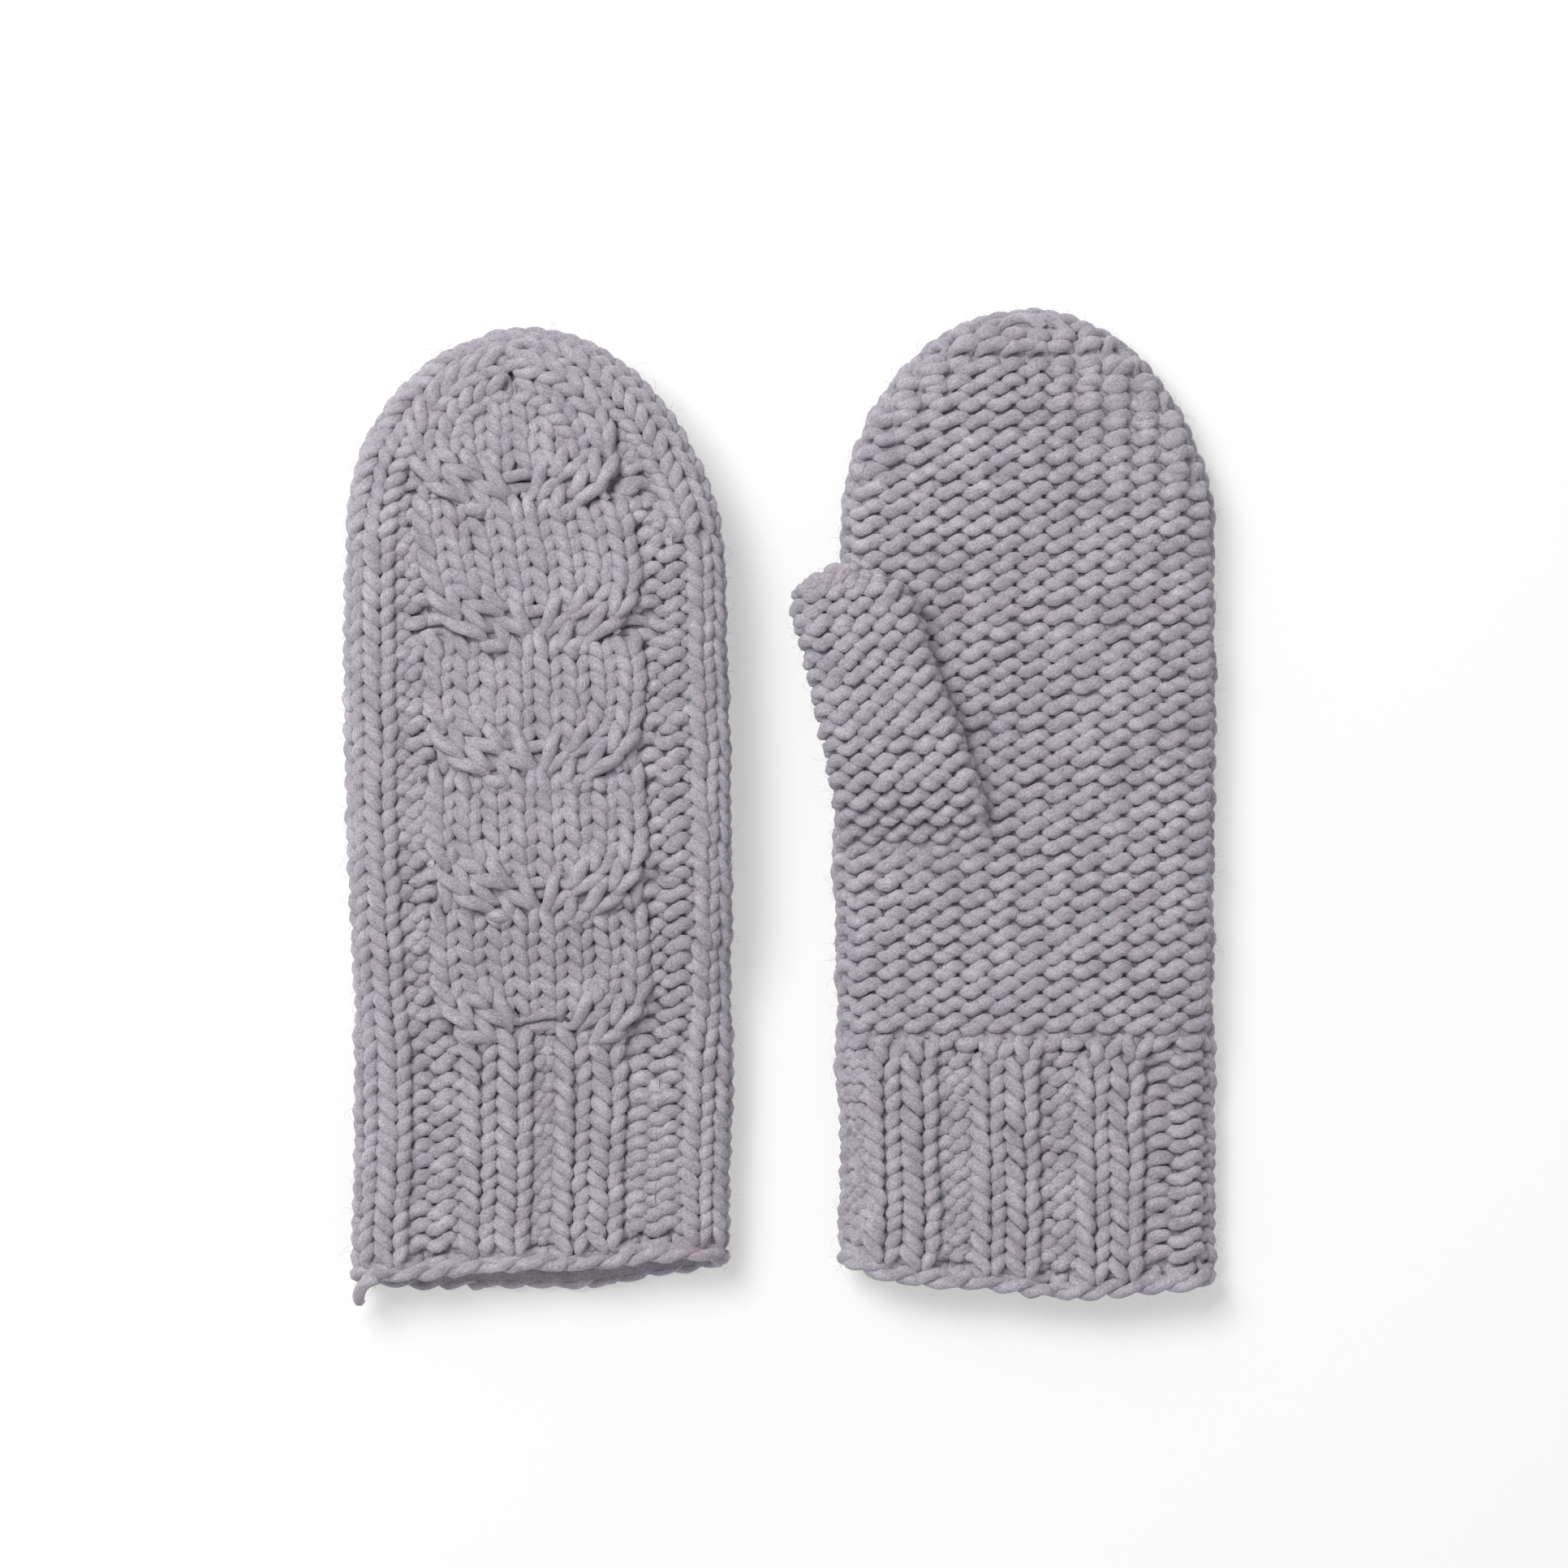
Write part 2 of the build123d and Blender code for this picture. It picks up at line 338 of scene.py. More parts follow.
def fine_edges(edges):
    """Stitch edges to four evenly spaced points per stitch, along the last axis."""
    edges = np.asarray(edges, float)
    steps = np.arange(POINTS_PER_STITCH) / POINTS_PER_STITCH
    fine = edges[..., :-1, None] + (edges[..., 1:, None] - edges[..., :-1, None]) * steps
    fine = fine.reshape(edges.shape[:-1] + (-1,))
    return np.concatenate([fine, edges[..., -1:]], -1)


def fine_kinds(values):
    """One value per stitch to the four points, with the mean of the neighbours at each stitch edge."""
    before = np.concatenate([values[:1], values[:-1]])
    fine = np.repeat(values[:, None], POINTS_PER_STITCH, -1)
    fine[:, 0] = (values + before) / 2
    return np.concatenate([fine.ravel(), values[-1:]])


def kind_signs(letters):
    """1 for each knit stitch and -1 for each purl stitch."""
    return np.array([1.0 if letter == "K" else -1.0 for letter in letters])


def cable_reach(mitten, y):
    """How far from its middle the cable's visible strands reach; the gutters widen to meet it."""
    reach = np.full(np.shape(y), 10.0)
    for first in (True, False):
        _, x, heights, height = strand_path(mitten, first)
        seen = np.where(height < HIDDEN_STRAND, 0.0, x + CABLE_STITCH)
        reach = np.maximum(reach, np.interp(y, heights, seen))
    return reach


def ring_edges(mitten, y):
    """The stitch edges round the mitten at each height, from the outer gutter over the palm and back."""
    y = np.asarray(y, float)[:, None]
    change = smooth(y, mitten.wrist - 10, mitten.wrist + 8)
    in_hand = smooth(y, mitten.wrist - 3, mitten.wrist)
    outer = np.array(CUFF_BACK[10:]) * (1 - change) + np.array(HAND_RIGHT) * change
    inner = np.array(CUFF_BACK[:5]) * (1 - change) + np.array(HAND_LEFT) * change
    reach, drift = cable_reach(mitten, y), cable_drift(mitten, y)
    outer[:, :1] += (drift + reach - 0.6 - outer[:, :1]) * in_hand
    inner[:, 4:] += (drift - reach + 0.6 - inner[:, 4:]) * in_hand
    even = np.linspace(-FACE_HALF, FACE_HALF, PALM_STITCHES + 1)
    palm = np.array(CUFF_PALM) * (1 - change) + even * change
    centre = np.broadcast_to(np.array(CUFF_BACK[5:11]), (len(y), CENTRE_STITCHES))
    over_palm = 2 + palm[:, 1:] / FACE_HALF
    up_again = 4 + np.concatenate([inner[:, 1:], centre], 1) / FACE_HALF
    return np.concatenate([outer / FACE_HALF, over_palm, up_again], 1)


def cuff_kinds():
    """The cuff's stitches in the order of ring_edges."""
    return CUFF_BACK_KINDS[10:] + CUFF_PALM_KINDS + CUFF_BACK_KINDS[:10]


def hand_kinds():
    """The hand's stitches beside the cable, in the order of ring_edges."""
    return "PPKK" + "P" * PALM_STITCHES + "KKPP"


def reliefs(letters, in_cuff):
    """How far each stitch of a round stands out or sinks in, since ribs draw together."""
    values = []
    for place, letter in enumerate(letters):
        on_palm = EDGE_STITCHES <= place < EDGE_STITCHES + PALM_STITCHES
        if in_cuff:
            values.append(RIB_RAISED if letter == "K" else RIB_SUNK)
        elif on_palm:
            values.append(0.0)
        else:
            values.append(EDGE_RAISED if letter == "K" else GUTTER_SUNK)
    return np.array(values)


def calmer_sides(around):
    """Loops that turn round the side of the mitten are drawn tighter."""
    distance = np.abs(np.mod(around, 2.0) - 1.0)
    return 1 - 0.45 * np.exp(-((distance / 0.16) ** 2))


def wander(rows, count, size, seed):
    """Small uneven shifts, the same each run, so no two stitches are quite alike."""
    random = np.random.default_rng(seed)
    return random.normal(0.0, size, (rows, count, 3))


def ring_guides(mitten):
    """The rounds of the cuff, and those of the hand, which run from one side of the cable to the other."""
    cuff_rows = np.arange(-1, CUFF_ROWS + 1)
    y = mitten.row_y(cuff_rows)
    edges = ring_edges(mitten, y)
    edges = np.concatenate([edges, edges[:, 1:2] + 4.0], 1)
    around = fine_edges(edges)
    point, normal = mitten.section(around, y[:, None])
    letters = cuff_kinds() + "P"
    kind = fine_kinds(kind_signs(letters)) * calmer_sides(around)
    cuff = Guide(point, normal, kind, cuff_rows, fine_kinds(reliefs(letters, True)))
    last = math.ceil(mitten.row_at(mitten.finger)) + 1
    hand_rows = np.arange(CUFF_ROWS - 1, last)
    y = mitten.row_y(hand_rows)
    stitches = 2 * EDGE_STITCHES + PALM_STITCHES
    around = fine_edges(ring_edges(mitten, y)[:, : stitches + 1])
    point, normal = mitten.section(around, y[:, None])
    raised = fine_kinds(reliefs(hand_kinds(), False))
    kind = fine_kinds(kind_signs(hand_kinds())) * calmer_sides(around)
    hand = Guide(point, normal, kind, hand_rows, raised)
    return cuff.between(0, CUFF_ROWS), hand.between(CUFF_ROWS, last - 1)


def cable_drift(mitten, y):
    """The cable leans a little to the thumb side as it nears the tip."""
    return -3.0 * smooth(y, mitten.length - 76, mitten.length - 39)


def strand_path(mitten, first):
    """The middle of one cable strand of two stitches: x, y and height, by row."""
    row = np.arange(0, 80, 0.05)
    y = mitten.row_y(row - 0.5)
    start = mitten.wrist + CABLE_FIRST_TURN
    x = np.full_like(y, 12.5 if first else CABLE_INNER)
    height = np.full_like(y, RIB_RAISED if first else 0.0)
    if first:
        x += (8.5 - x) * smooth(y, start - 14, start - 2)
        height += (CABLE_RAISED - height) * smooth(y, start - 12, start)
    else:
        height += CABLE_RAISED
    for turn in range(CABLE_TURNS + 1):
        at = start + turn * mitten.turn
        outward = (turn % 2 == 0) == first
        if outward:
            bow = np.sqrt(1 - (1 - np.clip((y - at + 2.5) / 13.0, 0, 1)) ** 2)
            x += (CABLE_OUTER - x) * (0.55 * bow + 0.45 * smooth(y, at - 3.5, at + 10))
            x += 0.9 * np.exp(-(((y - at - 20) / 8.0) ** 2))
            height += 2.4 * np.exp(-(((y - at - 3.5) / 6.5) ** 2))
        else:
            x += (CABLE_INNER - x) * smooth(y, at - 3.0, at + 1.5)
            height -= 3.2 * np.exp(-(((y - at - 0.5) / 4.0) ** 2))
    return row, x, y, height


def crown_arm(mitten, row, x, y, height):
    """Above the last turn the outer strands bow over and meet at the tip."""
    begin = mitten.length - CROWN_ARM_START
    before = y < begin
    span = x[before][-1] - CROWN_ARM_MIDDLE
    angle = np.linspace(0, math.pi / 2, 200)
    arc_x = CROWN_ARM_MIDDLE + span * np.cos(angle)
    arc_y = begin + CROWN_ARM_HEIGHT * np.sin(angle)
    run = np.concatenate([[0], np.cumsum(np.hypot(np.diff(arc_x), np.diff(arc_y)))])
    arc_row = row[before][-1] + run / (mitten.row * 1.08)
    return (
        np.concatenate([row[before], arc_row]),
        np.concatenate([x[before], arc_x]),
        np.concatenate([y[before], arc_y]),
        np.concatenate([height[before], np.full_like(arc_x, CABLE_RAISED + 0.8)]),
    )


def strand_guide(mitten, hand, first):
    """One cable strand as a guide of two knit columns; hand is -1 or 1, its half of the back."""
    row, x, y, height = strand_path(mitten, first)
    if first:
        row, x, y, height = crown_arm(mitten, row, x, y, height)
        rows = np.arange(0, math.floor(row[-1]))
    else:
        end = mitten.row_at(mitten.length - 14.0)
        rows = np.arange(CUFF_ROWS, math.floor(end))
    at = rows + 0.5
    middle = np.stack([np.interp(at, row, x), np.interp(at, row, y)], -1)
    ahead = np.stack([np.interp(at + 0.3, row, x), np.interp(at + 0.3, row, y)], -1)
    behind = np.stack([np.interp(at - 0.3, row, x), np.interp(at - 0.3, row, y)], -1)
    way = unit(ahead - behind)
    side = np.stack([way[:, 1], -way[:, 0]], -1)
    in_cuff = 1 - smooth(middle[:, 1], mitten.wrist - 14, mitten.wrist)
    width = CABLE_STITCH * (1 + 0.3 * in_cuff) if first else np.full(len(rows), CABLE_STITCH)
    offset = fine_edges(np.array([-1.0, 0.0, 1.0]))
    flat = middle[:, None, :] + side[:, None, :] * (offset[None, :] * width[:, None])[..., None]
    flat = flat if hand > 0 else flat[:, ::-1]
    across = hand * flat[..., 0] + cable_drift(mitten, flat[..., 1])
    around = across / mitten.quarter(flat[..., 1])
    point, normal = mitten.section(around, flat[..., 1])
    raised = np.interp(at, row, height)[:, None]
    guide = Guide(point, normal, 1.0, rows, raised)
    return guide.without(raised[:, 0] < HIDDEN_STRAND)


def band_guide(mitten, hand):
    """The two knit columns of one edge, over the crown to the tip."""
    start = math.asin((mitten.finger - mitten.crown_start) / mitten.crown)
    angle = np.linspace(start, math.pi / 2, 400)
    wide = float(mitten.half_width(mitten.crown_start))
    edge = np.stack([wide * np.cos(angle), mitten.crown_start + mitten.crown * np.sin(angle)], -1)
    run = np.concatenate([[0], np.cumsum(np.linalg.norm(np.diff(edge, axis=0), axis=1))])
    inward = unit(np.stack([-np.cos(angle) / wide, -np.sin(angle) / mitten.crown], -1))
    count = round(run[-1] / (mitten.row * 1.04))
    place = np.linspace(0, run[-1], count + 1)[:-1] + run[-1] / count / 2
    edge = np.stack([np.interp(place, run, edge[:, k]) for k in range(2)], -1)
    inward = unit(np.stack([np.interp(place, run, inward[:, k]) for k in range(2)], -1))
    width = CROWN_EDGE_WIDTH - CROWN_EDGE_TAPER * smooth(place / run[-1], 0.5, 1.0)
    reach = width[:, None] * fine_edges(np.array([0.0, 0.5, 1.0]))[None, :]
    quarter_turn = math.pi * mitten.thick / 2
    angle = np.clip(reach / mitten.thick, 0, math.pi / 2)
    inset = mitten.thick * (1 - np.cos(angle)) + np.maximum(reach - quarter_turn, 0)
    flat = edge[:, None, :] + inward[:, None, :] * inset[..., None]
    up = 1.0 if mitten.back_up else -1.0
    point = mitten.place(hand * flat[..., 0], flat[..., 1], up * mitten.thick * np.sin(angle))
    out = -inward[:, None, :] * np.cos(angle)[..., None]
    normal = np.stack([hand * out[..., 0], out[..., 1], up * np.sin(angle)], -1)
    if hand < 0:
        point, normal = point[:, ::-1], normal[:, ::-1]
    first = mitten.row_at(mitten.finger)
    rows = first + 0.5 + np.arange(count) * 0.5
    kind = 1 - 0.45 * np.exp(-((fine_edges(np.array([0.0, 1.0, 2.0])) / 0.9) ** 2))
    return Guide(point, normal, kind if hand > 0 else kind[::-1], rows, EDGE_RAISED)


def band_inner(mitten, y):
    """How far from the middle the edge columns' inner side lies at each height of the crown."""
    angle = np.linspace(0, math.pi / 2, 300)
    wide = float(mitten.half_width(mitten.crown_start))
    inward = unit(np.stack([-np.cos(angle) / wide, -np.sin(angle) / mitten.crown], -1))
    share = angle / (math.pi / 2)
    width = CROWN_EDGE_WIDTH - CROWN_EDGE_TAPER * smooth(share, 0.5, 1.0)
    depth = mitten.thick + width - math.pi * mitten.thick / 2
    x = wide * np.cos(angle) + inward[:, 0] * depth
    heights = mitten.crown_start + mitten.crown * np.sin(angle) + inward[:, 1] * depth
    return np.interp(y, heights, x, right=0.0)


def plain_guide(centre, out):
    """Yarn that simply follows a path, without stitches."""
    guide = Guide(centre[None], np.broadcast_to(unit(out), centre.shape)[None], 0.0, [0])
    guide.phase = np.zeros(len(centre))
    return guide


def bar_guide(mitten, start, top, end):
    """A short stretch of yarn on the back's side of the mitten, arched from start over top to end."""
    share = np.linspace(0, 1, 9)[:, None]
    start, top, end = (np.array(point, float) for point in (start, top, end))
    middle = 2 * top - (start + end) / 2
    path = start * (1 - share) ** 2 + 2 * middle * share * (1 - share) + end * share**2
    up = 1.0 if mitten.back_up else -1.0
    centre = mitten.place(path[:, 0], path[:, 1], up * path[:, 2])
    return plain_guide(centre, np.array([0.0, 0.0, up]))


def turn_bars(mitten):
    """The yarn stretched between the two strands wherever they part, two lengths at each turn."""
    bars = []
    for turn in range(CABLE_TURNS + 1):
        at = mitten.wrist + CABLE_FIRST_TURN + turn * mitten.turn
        level = mitten.thick + CABLE_RAISED
        drift = float(cable_drift(mitten, at)) + 0.6 * math.sin(2.3 * turn)
        start, end = (drift - 6.5, at + 1.2, level - 1.6), (drift + 6.5, at + 3.4, level - 1.6)
        bars.append(bar_guide(mitten, start, (drift, at + 2.6, level + 0.9), end))
        start, end = (drift - 4.5, at - 1.4, level - 2.2), (drift + 4.5, at - 0.6, level - 2.2)
        bars.append(bar_guide(mitten, start, (drift, at - 0.4, level - 0.9), end))
    return bars


def gutter_guides(mitten, hand):
    """The purl columns between the cable and the edge, narrowing into the crown."""
    first = math.ceil(mitten.row_at(mitten.finger) - 0.01)
    rows = np.arange(first - 1, math.floor(mitten.row_at(mitten.length - 24.0)))
    y = mitten.row_y(rows)
    inner = cable_reach(mitten, y) - 0.6 + hand * cable_drift(mitten, y)
    outer = band_inner(mitten, y) + 0.8
    middle = (inner + outer) / 2
    edges = np.stack([inner, middle, outer], -1)
    fine = fine_edges(edges if hand > 0 else -edges[:, ::-1])
    sign = 1.0 if mitten.back_up else -1.0
    point, normal = mitten.pillow(sign * fine, np.broadcast_to(y[:, None], fine.shape), mitten.back_up)
    guide = Guide(point, normal, -1.0, rows, GUTTER_SUNK)
    return guide.between(first, 999)


def tip_bars(mitten):
    """The few loops drawn together at the very tip."""
    top = mitten.length - 2.3
    if mitten.back_up:
        return [
            bar_guide(mitten, (-5.0, top - 2.6, 2.5), (0.0, top - 0.2, 1.0), (5.0, top - 2.0, 1.5)),
            bar_guide(mitten, (-5.5, top - 4.4, 4.6), (0.5, top - 1.8, 5.2), (6.0, top - 4.6, 4.6)),
            bar_guide(mitten, (-6.5, top - 11.0, 7.6), (-1.0, top - 7.6, 9.4), (5.0, top - 10.6, 7.6)),
        ]
    return [
        bar_guide(mitten, (-12.0, top - 6.0, -3.4), (-8.4, top - 2.4, -2.4), (-5.0, top - 3.6, -1.0)),
        bar_guide(mitten, (-8.0, top - 4.6, -3.6), (-2.0, top - 0.6, -2.6), (4.0, top - 3.4, -3.4)),
        bar_guide(mitten, (1.5, top - 4.0, -3.0), (6.0, top - 0.8, -1.4), (11.0, top - 5.4, -3.0)),
        bar_guide(mitten, (-6.0, top - 2.2, 1.6), (0.0, top - 0.2, 0.4), (6.0, top - 1.8, 1.6)),
        bar_guide(mitten, (-7.0, top - 3.2, -0.4), (-0.5, top - 2.2, -1.5), (6.0, top - 3.0, -0.4)),
    ]


def palm_guides(mitten):
    """The purl rows of the crown's palm side; each ends at the outline, where stitches were decreased."""
    first = math.ceil(mitten.row_at(mitten.finger) - 0.01)
    rows = np.arange(first, math.floor(mitten.row_at(mitten.length - mitten.layer - 1.0)))
    even = np.linspace(-1, 1, PALM_STITCHES + 1) * float(mitten.quarter(mitten.finger))
    guides = []
    for row in rows:
        height = float(mitten.row_y(row))
        x = mitten.outline(height) * np.sin(np.linspace(0, math.pi / 2, 200))
        point, normal = mitten.pillow(x, np.full_like(x, height), not mitten.back_up)
        run = np.concatenate([[0], np.cumsum(np.linalg.norm(np.diff(point, axis=0), axis=1))])
        inside = even[np.abs(even) < run[-1] - NARROWEST_STITCH]
        arc = fine_edges(np.concatenate([[-run[-1]], inside, [run[-1]]]))
        share = np.sign(arc) * np.interp(np.abs(arc), run, x) / mitten.outline(height)
        sheets = []
        for y in (mitten.row_y(row - 0.5), mitten.row_y(row), mitten.row_y(row + 0.5)):
            y = min(float(y), mitten.length - mitten.layer - 0.4)
            heights = np.full_like(share, y)
            sheets.append(mitten.pillow(share * mitten.outline(y), heights, not mitten.back_up))
        point, normal = (np.stack(part) for part in zip(*sheets))
        kind = -1 + 0.8 * np.exp(-(((run[-1] - np.abs(arc)) / 5.0) ** 2))
        sunk = -1.2 * smooth(np.abs(arc), run[-1] - 2.5, run[-1])
        guide = Guide(point, normal, kind, np.array([row - 0.5, row, row + 0.5]), sunk)
        guide.along = guide.along * (0.8 if row == rows[-1] else 2.0)
        guides.append(guide.between(row - 0.1, row + 0.1))
    return guides


def thumb_frame(mitten, along, across, z):
    """Thumb millimetres, along and across its axis, to the row frame."""
    axis = mitten.thumb_axis
    side = np.array([axis[1], -axis[0]])
    along = along + 0.9 * axis[0] / axis[1] * across
    point = np.empty(np.broadcast(along, across, z).shape + (3,))
    for k in range(2):
        point[..., k] = mitten.thumb_base[k] + axis[k] * along + side[k] * across
    point[..., 2] = z
    return point


def thumb_section(mitten, around, along):
    """A point and normal on the thumb: around is 0 at the middle of its upper face."""
    way = -1 if mitten.back_up else 1
    palm_z = mitten.centre_z + (mitten.lift_height if mitten.back_up else 0.0) + way * mitten.thick
    rise = smooth(along, -14, 15)
    far = palm_z - way * 2.0 + (mitten.thumb_z + way * mitten.thumb_thick - palm_z + way * 2.0) * rise
    near = palm_z - way * 3.0 + (mitten.thumb_z - way * mitten.thumb_thick - palm_z + way * 3.0) * rise
    z = (far + near) / 2
    taper = smooth(along, 14, 56)
    wide = THUMB_HALF - THUMB_TAPER_LOW * smooth(along, 0, 30) - THUMB_TAPER_HIGH * taper
    end = mitten.thumb_length - THUMB_INSET
    over = np.clip((along - end + THUMB_CAP) / THUMB_CAP, 0, 1)
    wide = wide * np.maximum(1 - over**2.3, 0.0) ** 0.5
    thick = np.minimum(np.abs(far - near) / 2, 0.8 * wide + 0.1)
    flat = wide - thick
    quarter = flat + math.pi * thick / 2
    turned = np.mod(around + 1.0, 4.0) - 1.0
    lower = turned > 1.0
    across = np.where(lower, 2.0 - turned, turned) * quarter
    angle = np.clip((np.abs(across) - flat) / np.maximum(thick, 1e-6), 0, math.pi / 2)
    sign = np.sign(across)
    x = sign * (np.minimum(np.abs(across), flat) + thick * np.sin(angle))
    up = np.where(lower, -1.0, 1.0)
    point = thumb_frame(mitten, along, x - THUMB_LEAN * taper, z + up * thick * np.cos(angle))
    axis = mitten.thumb_axis
    side = np.array([axis[1], -axis[0], 0.0])
    level = (sign * np.sin(angle))[..., None] * side
    normal = level + (up * np.cos(angle))[..., None] * np.array([0, 0, 1.0])
    return point, normal


def thumb_heights(mitten, pitch):
    """Heights along the thumb, evenly spaced over its surface, so that rows close up round the cap."""
    straight = mitten.thumb_length - THUMB_INSET - THUMB_CAP
    run = np.arange(-10.0 - pitch, straight + 18.5, pitch)
    turn = np.clip((run - straight) / 19.0, 0, 1) * math.pi / 2
    return np.where(run < straight, run, straight + THUMB_CAP * np.sin(turn))


def thumb_guide(mitten):
    """The purl rounds of the thumb, each of which laps over its own start by a stitch."""
    along = thumb_heights(mitten, mitten.row)
    rows = np.arange(-1, len(along) - 1)
    edges = np.linspace(1.0, 5.0 + 1.0 / 3.0, THUMB_STITCHES + 1)
    around = np.broadcast_to(fine_edges(edges), (len(rows), POINTS_PER_STITCH * THUMB_STITCHES + 1))
    point, normal = thumb_section(mitten, around, np.broadcast_to(along[:, None], around.shape))
    guide = Guide(point, normal, 0.5 - 1.5 * calmer_sides(around), rows)
    return guide.between(0, 99)


def shell(grid_point, grid_normal, outer, inner, closed):
    """A thin closed layer under the yarn, from a grid of points and normals."""
    rows, columns = grid_point.shape[:2]
    points = np.concatenate([grid_point + grid_normal * outer, grid_point + grid_normal * inner])
    faces = []
    span = columns if closed else columns - 1
    for r in range(rows - 1):
        for c in range(span):
            d = (c + 1) % columns
            a, b, e, f = r * columns + c, r * columns + d, (r + 1) * columns + d, (r + 1) * columns + c
            faces.append((a, b, e, f))
            low = rows * columns
            faces.append((low + f, low + e, low + b, low + a))
    for r, flip in ((0, False), (rows - 1, True)):
        for c in range(span):
            d = (c + 1) % columns
            a, b = r * columns + c, r * columns + d
            quad = (a, rows * columns + a, rows * columns + b, b)
            faces.append(quad[::-1] if flip else quad)
    if not closed:
        for c, flip in ((0, True), (columns - 1, False)):
            for r in range(rows - 1):
                a, b = r * columns + c, (r + 1) * columns + c
                quad = (a, rows * columns + a, rows * columns + b, b)
                faces.append(quad[::-1] if flip else quad)
    return points.reshape(-1, 3), faces


def backing(guide):
    """Thin layers just under a guide's stitches, so that no gap between the loops opens into the dark."""
    if not guide.kind.any():
        return []
    parts = []
    breaks = np.flatnonzero(np.diff(guide.rows) > 1.01) + 1
    for rows in np.split(np.arange(len(guide.rows)), breaks):
        point, normal, along = guide.point[rows], guide.normal[rows], guide.along[rows]
        point = np.concatenate([point[:1] - along[:1] * 0.6, point, point[-1:] + along[-1:] * 0.6])
        normal = np.concatenate([normal[:1], normal, normal[-1:]])
        turned = np.cross(guide.across[rows], along) * guide.normal[rows]
        if turned.sum() < 0:
            point, normal = point[:, ::-1], normal[:, ::-1]
        parts.append(shell(point, normal, *BACKING, False))
    return parts


def tube_lining(mitten, low, high):
    """The layer under the yarn for one stretch of the mitten's tube."""
    y = np.linspace(low, high, max(3, round((high - low) / 4.0)))
    around = np.linspace(-1, 3, 97)[:-1]
    grid = np.broadcast_to(around[None, ::-1], (len(y), 96))
    point, normal = mitten.section(grid, y[:, None])
    return shell(point, normal, *LINING, True)


def crown_lining(mitten):
    """The layer under the yarn of the crown, two faces that meet at the outline."""
    share = np.linspace(0, 1, 22)
    top = mitten.crown_start + mitten.crown * 0.9995
    y = mitten.finger + (top - mitten.finger) * np.sin(share * math.pi / 2)
    half = np.sin(np.linspace(-math.pi / 2, math.pi / 2, 41))
    x = mitten.outline(y)[:, None] * half[None, :]
    heights = np.broadcast_to(y[:, None], x.shape)
    parts = []
    for upper in (True, False):
        grid = x[:, ::-1] if upper else x
        point, normal = mitten.pillow(grid, heights, upper)
        parts.append(shell(point, normal, *LINING, False))
    return parts


def thumb_lining(mitten):
    """The layer under the yarn of the thumb."""
    along = thumb_heights(mitten, 2.5)
    around = np.linspace(-1, 3, 49)[:-1][::-1]
    grid = np.broadcast_to(around[None, :], (len(along), 48))
    point, normal = thumb_section(mitten, grid, np.broadcast_to(along[:, None], grid.shape))
    return shell(point, normal, *LINING, True)


def guide_mesh(name, guides, linings, seed):
    """A mesh of row lines, with each point's directions as attributes, and of lining faces."""
    points, edges, faces = [], [], []
    fields = {key: [] for key in ("across", "along", "out", "kind", "phase", "guide")}
    count = 0
    for number, guide in enumerate(guides):
        rows, columns = guide.point.shape[:2]
        if rows == 0:
            continue
        shift = wander(rows, columns // POINTS_PER_STITCH + 2, STITCH_UNEVENNESS, seed + number)
        shift = np.stack([fine_row(shift[..., k], columns) for k in range(3)], -1)
        place = (guide.point + shift).reshape(-1, 3)
        points.append(place)
        fields["across"].append(guide.across.reshape(-1, 3))
        fields["along"].append(guide.along.reshape(-1, 3))
        fields["out"].append(guide.normal.reshape(-1, 3))
        fields["kind"].append(guide.kind.reshape(-1))
        fields["phase"].append(np.tile(guide.phase, rows))
        fields["guide"].append(np.ones(rows * columns))
        index = np.arange(rows * columns).reshape(rows, columns) + count
        edges.append(np.stack([index[:, :-1].ravel(), index[:, 1:].ravel()], -1))
        count += rows * columns
    for lining_points, lining_faces in linings:
        points.append(lining_points)
        size = len(lining_points)
        for key in ("across", "along", "out"):
            fields[key].append(np.zeros((size, 3)))
        for key in ("kind", "phase", "guide"):
            fields[key].append(np.zeros(size))
        faces.extend(tuple(i + count for i in face) for face in lining_faces)
        count += size
    mesh = bpy.data.meshes.new(name)
    pairs = np.concatenate(edges).tolist() if edges else []
    mesh.from_pydata((np.concatenate(points) * MM).tolist(), pairs, faces)
    for key, values in fields.items():
        values = np.concatenate(values)
        vector = values.ndim == 2
        attribute = mesh.attributes.new(key, "FLOAT_VECTOR" if vector else "FLOAT", "POINT")
        scaled = values * MM if key in ("across", "along") else values
        attribute.data.foreach_set("vector" if vector else "value", scaled.astype(np.float32).ravel())
    return mesh


def fine_row(values, columns):
    """One random value per stitch, spread over its four points."""
    at = np.arange(columns) / POINTS_PER_STITCH
    whole = at.astype(int)
    part = at - whole
    return values[:, whole] * (1 - part) + values[:, whole + 1] * part


